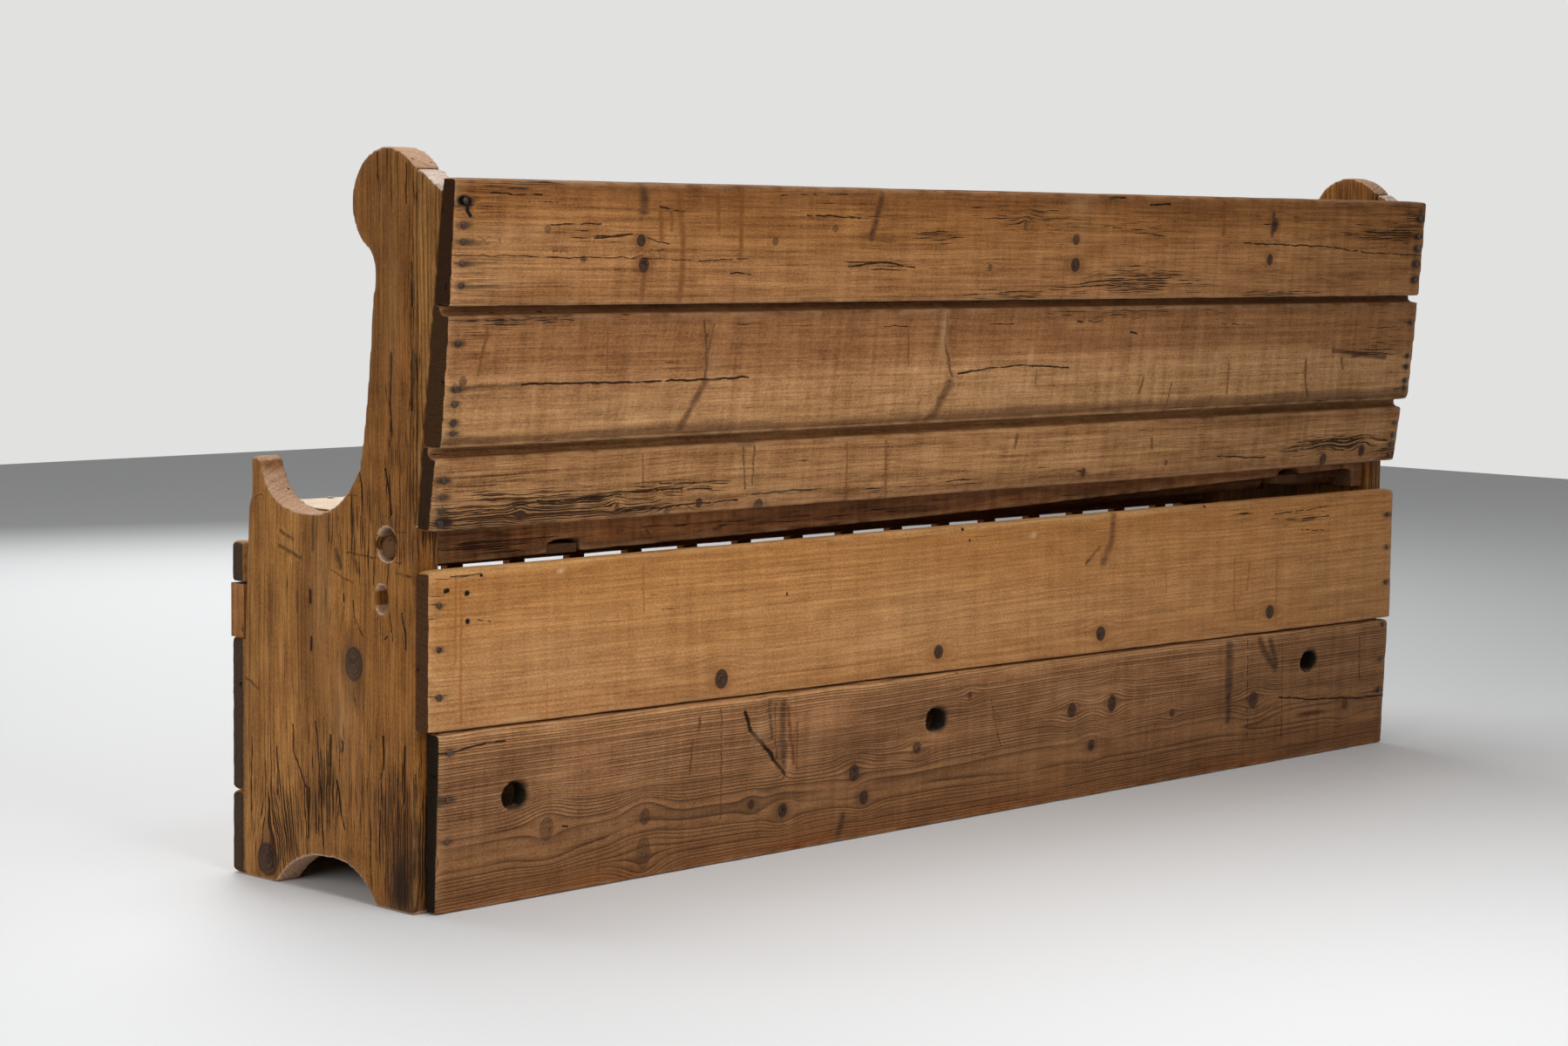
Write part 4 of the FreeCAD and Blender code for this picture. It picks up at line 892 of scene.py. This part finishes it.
LOWER_REAR_MARKS_PX = dict(
    knots=[(627, 951, 11, 14, 0.45), (740, 937, 9, 10, 0.5), (738, 979, 12, 20, 0.4), (862, 923, 5, 6, 0.9),
        (898, 930, 8, 9, 1), (980, 887, 9, 11, 0.9), (991, 915, 8, 9, 1), (1052, 858, 8, 8, 0.7),
        (1230, 815, 9, 10, 0.9), (1276, 807, 9, 12, 0.9), (1438, 803, 11, 12, 0.8), (1252, 855, 7, 8, 0.9),
        (1345, 818, 6, 6, 0.7), (1113, 798, 5, 6, 0.5), (1543, 807, 8, 10, 0.6)],
    cracks=[(2.0, (493, 866), (515, 864), (548, 855), (580, 850)),
        (5, (857, 818), (862, 838), (888, 870), (903, 888)),
        (2.2, (1467, 800), (1500, 802), (1560, 800), (1590, 797)), (2.0, (646, 947), (652, 948)),
        (1.0, (828, 812), (828, 870)), (1.0, (1137, 803), (1148, 857)), (1.6, (1432, 733), (1431, 850)),
        (1.4, (1560, 722), (1560, 780)), (1.2, (1472, 740), (1470, 845))],
    smears_and_shadows=[(17, (1411, 742), (1410, 790)), (12, (1410, 790), (1409, 826)),
        (12, (1446, 735), (1452, 750), (1463, 766)), (10, (1458, 735), (1464, 762)),
        (12, (963, 953), (958, 968)), (9, (967, 935), (964, 952)), (7, (886, 806), (888, 846)),
        (9, (900, 806), (902, 880)), (3, (893, 806), (893, 870))],
    # The vents are painted near-black as the shade inside them
    holes=[(32, (592, 913), (594, 913)), (32, (1076, 826), (1078, 826)), (32, (1502, 757), (1504, 757))],
    drips=[(4, (795, 850), (791, 888)), (4, (803, 824), (802, 838)), (3, (915, 830), (914, 885)),
        (3, (828, 870), (827, 940)), (5, (905, 812), (911, 875))],
    stains=[(884, 905, 34, 12, 0.5), (965, 945, 18, 12, 0.4), (735, 985, 30, 20, 0.3),
        (1545, 800, 90, 40, 0.3), (500, 920, 10, 60, 0.5), (620, 1000, 20, 14, 0.3)],
    pales=[(872, 842, 10, 14, 0.5), (930, 845, 12, 20, 0.15), (1225, 795, 60, 10, 0.2)],
    checks=[(560, 858, 60, 5, 0.8), (1550, 802, 90, 8, 0.7)],
    splinter=[(12, (861, 824), (884, 864))],
    hollow=[(26, (889, 812), (897, 850)), (16, (897, 850), (903, 884))])
VENTS_PX = ((593, 913), (1077, 826), (1503, 757))
LOWER_REAR_LOOK = dict(
    bands=((0.0, (134, 78, 38)), (0.06, (130, 86, 50)), (0.28, (136, 95, 60)), (0.6, (162, 115, 76)),
           (0.88, (168, 119, 78)), (0.96, (190, 138, 90)), (1.0, (190, 140, 94))),
    width=0.208, late=rgb(56, 34, 20), cast=rgb(118, 78, 48), rings=3.1 * MM, pith=(0.062, -0.03),
    ring_depth=0.85, ridge=1.1, waver=8 * MM, fibre=0.34, flecks=0.1, streaks=0.14, blotch=0.45,
    gloss=0.72, end=rgb(36, 27, 17), bump=1.0, drip=rgb(96, 48, 24), smear_and_shadow=rgb(44, 34, 26))


def lower_rear_board():
    grain = show_face("rear_board_lower", Y, X, 23.0)
    marks = placed(grain, LOWER_REAR_MARKS_PX)
    splinter, hollow, slit = marks.pop("splinter"), marks.pop("hollow"), marks["cracks"][3:6]
    marks["gouges"] = carved(hollow[:1], 26, 5.5) + carved(hollow[1:], 16, 4.5) + carved(slit, 7, 6)

    def ragged_vents(places, normals, rim):
        """The vent holes are worn ragged, and the knot has left its splinter standing; the near-black in
        the vents is painted shade, drawn with the holes' marks.
        """
        wall = np.sqrt(np.clip(1 - (normals @ np.array(grain.outward)) ** 2, 0, 1))
        loss = np.zeros(len(places))
        for px, py in VENTS_PX:
            along, across = grain.at_pixel(px, py)
            near = fade(np.hypot(places[:, 0] - along, places[:, 1] - across), 24 * MM, 17 * MM)
            loss += near * wall * 2.6 * MM * (0.7 + rough(places * 130, 5))
        for stroke in splinter:
            loss -= 4.5 * MM * fade(off_stroke(places, stroke), stroke[4], 2 * MM) * (1 - wall)
        return loss

    worn("rear_board_lower", grain, LOWER_REAR_LOOK, marks, length_ratio=2.4, shape=ragged_vents)


# The end planks and their wedge strips

PLANK_MARKS_PX = dict(
    cracks=[(2.2, (446, 480), (447, 512)), (2.6, (448, 406), (446, 462), (448, 500)),
        (2.6, (441, 538), (445, 560), (448, 590)), (2.0, (446, 545), (447, 588)),
        (2.6, (410, 538), (414, 560), (414, 586)), (2.0, (403, 566), (404, 600), (403, 632)),
        (1.6, (377, 590), (377, 622)), (1.2, (387, 592), (388, 615)), (1.6, (429, 644), (428, 672)),
        (1.6, (445, 644), (444, 678)), (2.0, (447, 704), (449, 718), (450, 735)),
        (1.6, (449, 724), (441, 733)), (2.2, (461, 704), (465, 728), (466, 745)),
        (1.8, (405, 690), (409, 722)), (1.4, (409, 712), (416, 730)), (2.6, (471, 302), (471, 350)),
        (3.0, (471, 404), (471, 470)), (2.2, (433, 170), (433, 205)), (1.6, (444, 170), (444, 188)),
        (2.2, (466, 188), (466, 232)), (2.2, (336, 832), (336, 860), (343, 880), (351, 902)),
        (2.6, (354, 905), (353, 960)), (2.4, (362, 828), (366, 880), (368, 920), (372, 982)),
        (1.8, (289, 846), (288, 930)), (2.0, (318, 856), (318, 912)), (5.0, (378, 844), (378, 878)),
        (3.0, (378, 878), (377, 900)), (4.0, (385, 896), (388, 914), (390, 932)),
        (3.0, (390, 932), (394, 952)), (4.0, (439, 846), (438, 882)), (1.6, (437, 884), (436, 965)),
        (3.2, (463, 856), (463, 890), (462, 922)), (2.0, (425, 940), (425, 985)),
        (2.0, (474, 900), (474, 960)), (4.5, (355, 678), (355, 691)), (4.5, (356, 732), (356, 745)),
        (4.0, (392, 851), (392, 860)), (3.0, (393, 682), (393, 689))],
    smears_and_shadows=[(5.0, (359, 592), (359, 630)), (4.0, (320, 608), (335, 619)), (4.5, (319, 626), (345, 640)),
        (1.2, (319, 609), (319, 628)), (1.5, (398, 567), (409, 569)), (1.8, (454, 610), (466, 611)),
        (2.4, (397, 634), (431, 640)), (2.0, (379, 654), (405, 668)),
        (1.6, (292, 573), (295, 568), (299, 567), (303, 570)), (7.0, (385, 632), (390, 650)),
        (6.0, (408, 645), (410, 655)), (3.0, (281, 776), (296, 790)), (6.0, (448, 595), (449, 604)),
        (2.0, (453, 645), (461, 647)), (3.0, (455, 658), (472, 662)), (4.0, (341, 680), (341, 700))],
    holes=[(27, (443, 624), (443, 626)), (20, (437, 686), (437, 690))],
    knots=[(406, 762, 20, 16, 1.0), (307, 986, 20, 20, 0.9), (386, 640, 5, 5, 0.3)],
    stains=[(398, 745, 30, 26, 0.35), (407, 800, 24, 18, 0.4), (307, 972, 26, 20, 0.45),
        (460, 1020, 50, 24, 0.85), (335, 940, 40, 26, 0.4), (440, 600, 26, 12, 0.4),
        (286, 790, 22, 14, 0.3), (385, 645, 30, 14, 0.3), (474, 960, 70, 6, 0.5)],
    pales=[(395, 820, 60, 30, 0.18), (370, 680, 80, 20, 0.16), (450, 360, 90, 12, 0.14)],
    checks=[(465, 1005, 110, 34, 1.9), (320, 950, 80, 60, 1.5), (430, 930, 90, 70, 0.8),
        (400, 620, 60, 70, 0.8), (455, 560, 100, 40, 0.8), (475, 420, 240, 10, 1.5),
        (445, 200, 50, 60, 0.6), (375, 900, 60, 40, 0.9)])
PLANK_LOOK = dict(
    bands=((0.0, (158, 108, 54)), (0.3, (168, 115, 58)), (0.7, (156, 104, 48)), (1.0, (130, 82, 34))),
    width=0.321, late=rgb(84, 48, 18), cast=rgb(120, 76, 34), rings=5 * MM, pith=(0.18, -0.05),
    ring_depth=0.4, fibre=0.6, flecks=0.45, checks=0.12, streaks=0.05, blotch=0.7, gloss=0.5,
    end=rgb(196, 158, 128), end_from=0.28, end_saw=0.5, bump=0.6, smear_and_shadow=rgb(60, 34, 14),
    edge=rgb(178, 134, 86), rubbed=0.3)
WEDGE_LOOK = dict(
    PLANK_LOOK, bands=((0.0, (150, 104, 52)), (1.0, (140, 94, 44))), width=0.045, ring_depth=0.75,
    rings=6 * MM, ridge=1.6, checks=0.25, bump=1.0, end=rgb(225, 205, 188), pith=(0.3, -0.02))


def end_planks():
    marks = placed(show_face("end_panel_right", X, Z), PLANK_MARKS_PX)
    deep = [stroke for stroke in marks["cracks"] if stroke[4] > 2.5 * MM]
    # Some smears are gouged too; their dark there is painted shade in the grooves
    marks["gouges"] = carved(marks["smears_and_shadows"][1:3] + marks["smears_and_shadows"][11:12], 7, 1.6) + carved(deep, 7, 2.2)

    def ribbed(places, normals, rim):
        return 1.1 * MM * (1 + noise(places * (5, 260, 60), 3))

    for side, sign, seed in (("right", 1, 31.0), ("left", -1, 37.0)):
        plank, wedge = "end_panel_" + side, "back_wedge_" + side
        grain = show_face(plank, X * sign, Z, seed)
        worn(plank, grain, PLANK_LOOK, marks, cell=3.4 * MM, length_ratio=1.3, wear=0.45)
        grain = show_face(wedge, X * sign, Z, seed + 70)
        worn(wedge, grain, WEDGE_LOOK, cell=2.4 * MM, length_ratio=3.0, shape=ribbed)


# The seat, the rail that it swings on, the front and the inside

RAIL_MARKS_PX = dict(
    drips=[(9, (700, 600), (704, 622)), (8, (750, 594), (752, 612)), (10, (790, 590), (790, 606)),
        (8, (842, 590), (842, 603))],
    smears_and_shadows=[(9, (534, 628), (548, 628)), (6, (820, 606), (826, 605)), (7, (656, 622), (664, 620)),
        (3, (742, 608), (745, 612))],
    checks=[(560, 625, 90, 14, 1.0), (900, 595, 200, 10, 0.6)])
RAIL_LOOK = dict(
    bands=((0.0, (98, 60, 32)), (0.5, (126, 80, 44)), (1.0, (138, 92, 54))), width=0.05,
    late=rgb(62, 36, 20), cast=rgb(92, 54, 28), ring_depth=0.5, checks=0.35, blotch=0.9, streaks=0.3,
    gloss=0.66, end=rgb(104, 74, 50))
SEAT_LOOK = dict(
    bands=((0.0, (222, 196, 158)), (1.0, (214, 184, 142))), late=rgb(168, 126, 80), cast=rgb(200, 164, 118),
    rings=6 * MM, ring_depth=0.4, fibre=0.2, flecks=0.08, blotch=0.3, gloss=0.5, end=rgb(132, 96, 62),
    rubbed=0.2)
FRONT_LOOK = dict(
    bands=((0.0, (150, 100, 54)), (0.5, (170, 118, 66)), (1.0, (160, 108, 58))), late=rgb(108, 66, 34),
    cast=rgb(140, 90, 46), rings=5 * MM, ring_depth=0.5, fibre=0.4, checks=0.1, gloss=0.52,
    end=rgb(70, 54, 42))
INNER_LOOK = dict(
    bands=((0.0, (142, 104, 66)), (1.0, (150, 112, 72))), late=rgb(96, 64, 38), cast=rgb(120, 84, 50),
    rings=5 * MM, checks=0.1, saw=0.2, gloss=0.72, end=rgb(90, 64, 42))


def plain_wood(node, along, towards, seed, look):
    """Wood for a solid that is kept as it is."""
    low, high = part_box(node)
    across = towards.cross(along).normalized()
    grain = Grain((low + high) / 2, along, across, towards, seed)
    piece = frame["nodes"][node]
    piece.data.materials.clear()
    piece.data.materials.append(wood(node + "_wood", grain, look))


def seat_and_rail():
    grain = show_face("seat_pivot_rail", Y, X, 41.0)
    worn("seat_pivot_rail", grain, RAIL_LOOK, placed(grain, RAIL_MARKS_PX))
    for node, seed in (("seat_board_front", 43.0), ("seat_board_rear", 47.0)):
        worn(node, show_face(node, Z, X, seed), SEAT_LOOK, cell=4 * MM, length_ratio=4)
    for side, seed in (("right", 108.0), ("left", 110.0)):
        plain_wood("seat_cross_batten_" + side, Y, Z, seed, INNER_LOOK)
    plain_wood("seat_front_batten", X, Z, 139.0, INNER_LOOK)


def front():
    for node, seed in (("front_board_lower", 53.0), ("front_board_upper", 59.0), ("front_top_rail", 61.0)):
        worn(node, show_face(node, -Y, X, seed), FRONT_LOOK, cell=4 * MM, length_ratio=4)
    for node, seed in (("front_post_right", 67.0), ("front_post_left", 71.0)):
        plain_wood(node, Z, -Y, seed, FRONT_LOOK)
    for node in sorted(frame["nodes"]):
        if node.startswith("front_slat_"):
            plain_wood(node, Z, -Y, 73.0 + int(node[-2:]), FRONT_LOOK)


def inside():
    for name, seed in (("front", 113.0), ("middle", 127.0), ("rear", 131.0)):
        plain_wood("floor_board_" + name, X, Z, seed, INNER_LOOK)
    for name, seed in (("cleat_right", 106.0), ("cleat_left", 107.0), ("batten", 137.0)):
        plain_wood("floor_" + name, Y, Z, seed, INNER_LOOK)


def iron():
    """Old iron, rusted brown."""
    tree = Tree("nail_iron")
    where = tree.node("TexCoord").outputs["Object"]
    grains = tree.noise(tree.vector("MULTIPLY", where, (600, 600, 600)), 3.0, 0.6)
    each = tree.noise(tree.vector("MULTIPLY", where, (45, 45, 45)), 1.0)
    rust = tree.mix(tree.fade(each, 0.35, 0.65), rgb(34, 25, 21), rgb(78, 54, 42))
    shade = tree.muladd(grains, 1.2, 0.4)
    tree.put(tree.shader.inputs["Base Color"],
             tree.mix(1.0, rust, tree.combine(shade, shade, shade), "MULTIPLY"))
    tree.put(tree.shader.inputs["Roughness"], tree.fade(grains, 0.2, 0.9, 0.85))
    tree.shader.inputs["Metallic"].default_value = 0.3
    bump = tree.node("Bump")
    bump.inputs["Distance"].default_value = 0.3 * MM
    tree.put(bump.inputs["Height"], grains)
    tree.put(tree.shader.inputs["Normal"], bump.outputs["Normal"])
    return tree.material


HEAD_SIDES = 12
HEAD_RINGS = (    # height and share of the head's radius
    (-0.6 * MM, 0.9), (0.5 * MM, 1.0), (1.1 * MM, 0.8), (1.35 * MM, 0.4))
CORNERS = ((-1, -1), (1, -1), (1, 1), (-1, 1))


def square(body, point, turn, half, depth):
    """The four corners of a shank at a depth below the head."""
    return [body.verts.new(point + turn @ Vector((x * half, y * half, -depth))) for x, y in CORNERS]


def forged_nail(body, point, outward, length, chance):
    """One nail: a hammered, uneven head on a square tapering shank."""
    turn = outward.to_track_quat("Z", "Y")
    radius = (3.3 + 1.2 * chance.random()) * MM
    rings = []
    for height, share in HEAD_RINGS:
        ring = []
        for step in range(HEAD_SIDES):
            angle = 2 * math.pi * step / HEAD_SIDES
            reach = radius * share * (0.88 + 0.24 * chance.random())
            spot = Vector((reach * math.cos(angle), reach * math.sin(angle), height))
            ring.append(body.verts.new(point + turn @ spot))
        rings.append(ring)
    for lower, upper in zip(rings, rings[1:]):
        for step in range(HEAD_SIDES):
            after = (step + 1) % HEAD_SIDES
            body.faces.new((lower[step], lower[after], upper[after], upper[step]))
    crown = body.verts.new(point + outward * NAIL_RISE)
    for step in range(HEAD_SIDES):
        body.faces.new((rings[-1][step], rings[-1][(step + 1) % HEAD_SIDES], crown))
    body.faces.new(rings[0][::-1])
    neck = square(body, point, turn, 2 * MM, 0.3 * MM)
    tip = square(body, point, turn, 0.7 * MM, length)
    body.faces.new(neck)
    body.faces.new(tip[::-1])
    for step in range(4):
        after = (step + 1) % 4
        body.faces.new((tip[step], tip[after], neck[after], neck[step]))


def nails():
    material = iron()
    for group in sorted({nail[2] for nail in NAILS}):
        chance = random.Random(group)
        body = bmesh.new()
        for point, outward, of_group, length in NAILS:
            if of_group == group:
                forged_nail(body, point, outward, length, chance)
        mesh = bpy.data.meshes.new(group)
        body.to_mesh(mesh)
        body.free()
        mesh.materials.append(material)
        piece = bpy.data.objects.new(group + "_forged", mesh)
        bpy.context.scene.collection.objects.link(piece)
        stand_for(piece, group)


# The studio

FLOOR_SIZE = 12.0
WORLD_LIGHT, WORLD_SEEN = 0.2, 0.9
LAMPS = (  # place, aim, size, power and spread in degrees
    ("key", (0.8, 2.1, 1.6), (0.4, 0.0, 0.45), 1.3, 6.5, 95.0),
    ("side", (3.2, 0.9, 1.2), (0.95, 0.0, 0.3), 1.2, 5.5, 80.0),
    ("floor_lamp", (0.6, 2.0, 2.6), (0.6, 2.0, 0.0), 2.0, 16.0, 100.0),
    ("top", (0.3, -0.9, 3.0), (0.0, 0.0, 0.4), 2.2, 46.0, 180.0),
    ("front", (-1.2, -3.2, 2.0), (0.0, 0.0, 0.4), 2.4, 50.0, 180.0),
)


def studio():
    """A plain pale floor and soft light, nearest to the end that the photograph shows."""
    mesh = bpy.data.meshes.new("floor")
    half = FLOOR_SIZE / 2
    corners = [(-half, -half, 0), (half, -half, 0), (half, half, 0), (-half, half, 0)]
    mesh.from_pydata(corners, [], [(0, 1, 2, 3)])
    floor = bpy.data.objects.new("floor", mesh)
    bpy.context.scene.collection.objects.link(floor)
    tree = Tree("floor_paint")
    tree.shader.inputs["Base Color"].default_value = rgb(228, 229, 230)
    tree.shader.inputs["Roughness"].default_value = 0.7
    mesh.materials.append(tree.material)

    world = bpy.data.worlds.new("studio")
    bpy.context.scene.world = world
    world.use_nodes = True
    nodes, links = world.node_tree.nodes, world.node_tree.links
    background = nodes["Background"]
    background.inputs["Color"].default_value = rgb(236, 236, 235)
    path = nodes.new("ShaderNodeLightPath")
    seen = path.outputs["Is Camera Ray"]
    for ray in ("Is Glossy Ray", "Is Transmission Ray"):
        either = nodes.new("ShaderNodeMath")
        either.operation = "MAXIMUM"
        links.new(seen, either.inputs[0])
        links.new(path.outputs[ray], either.inputs[1])
        seen = either.outputs[0]
    strength = nodes.new("ShaderNodeMapRange")
    strength.inputs["To Min"].default_value = WORLD_LIGHT
    strength.inputs["To Max"].default_value = WORLD_SEEN
    links.new(seen, strength.inputs["Value"])
    links.new(strength.outputs[0], background.inputs["Strength"])

    for name, at, to, size, power, spread in LAMPS:
        data = bpy.data.lights.new(name, "AREA")
        data.size, data.energy, data.spread = size, power, math.radians(spread)
        lamp = bpy.data.objects.new(name, data)
        lamp.location = at
        lamp.rotation_euler = (Vector(to) - Vector(at)).to_track_quat("-Z", "Y").to_euler()
        bpy.context.scene.collection.objects.link(lamp)


make_camera()
studio()
top_board()
middle_board()
lower_board()
upper_rear_board()
lower_rear_board()
end_planks()
seat_and_rail()
front()
inside()
nails()
bpy.context.scene.view_settings.view_transform = "Standard"
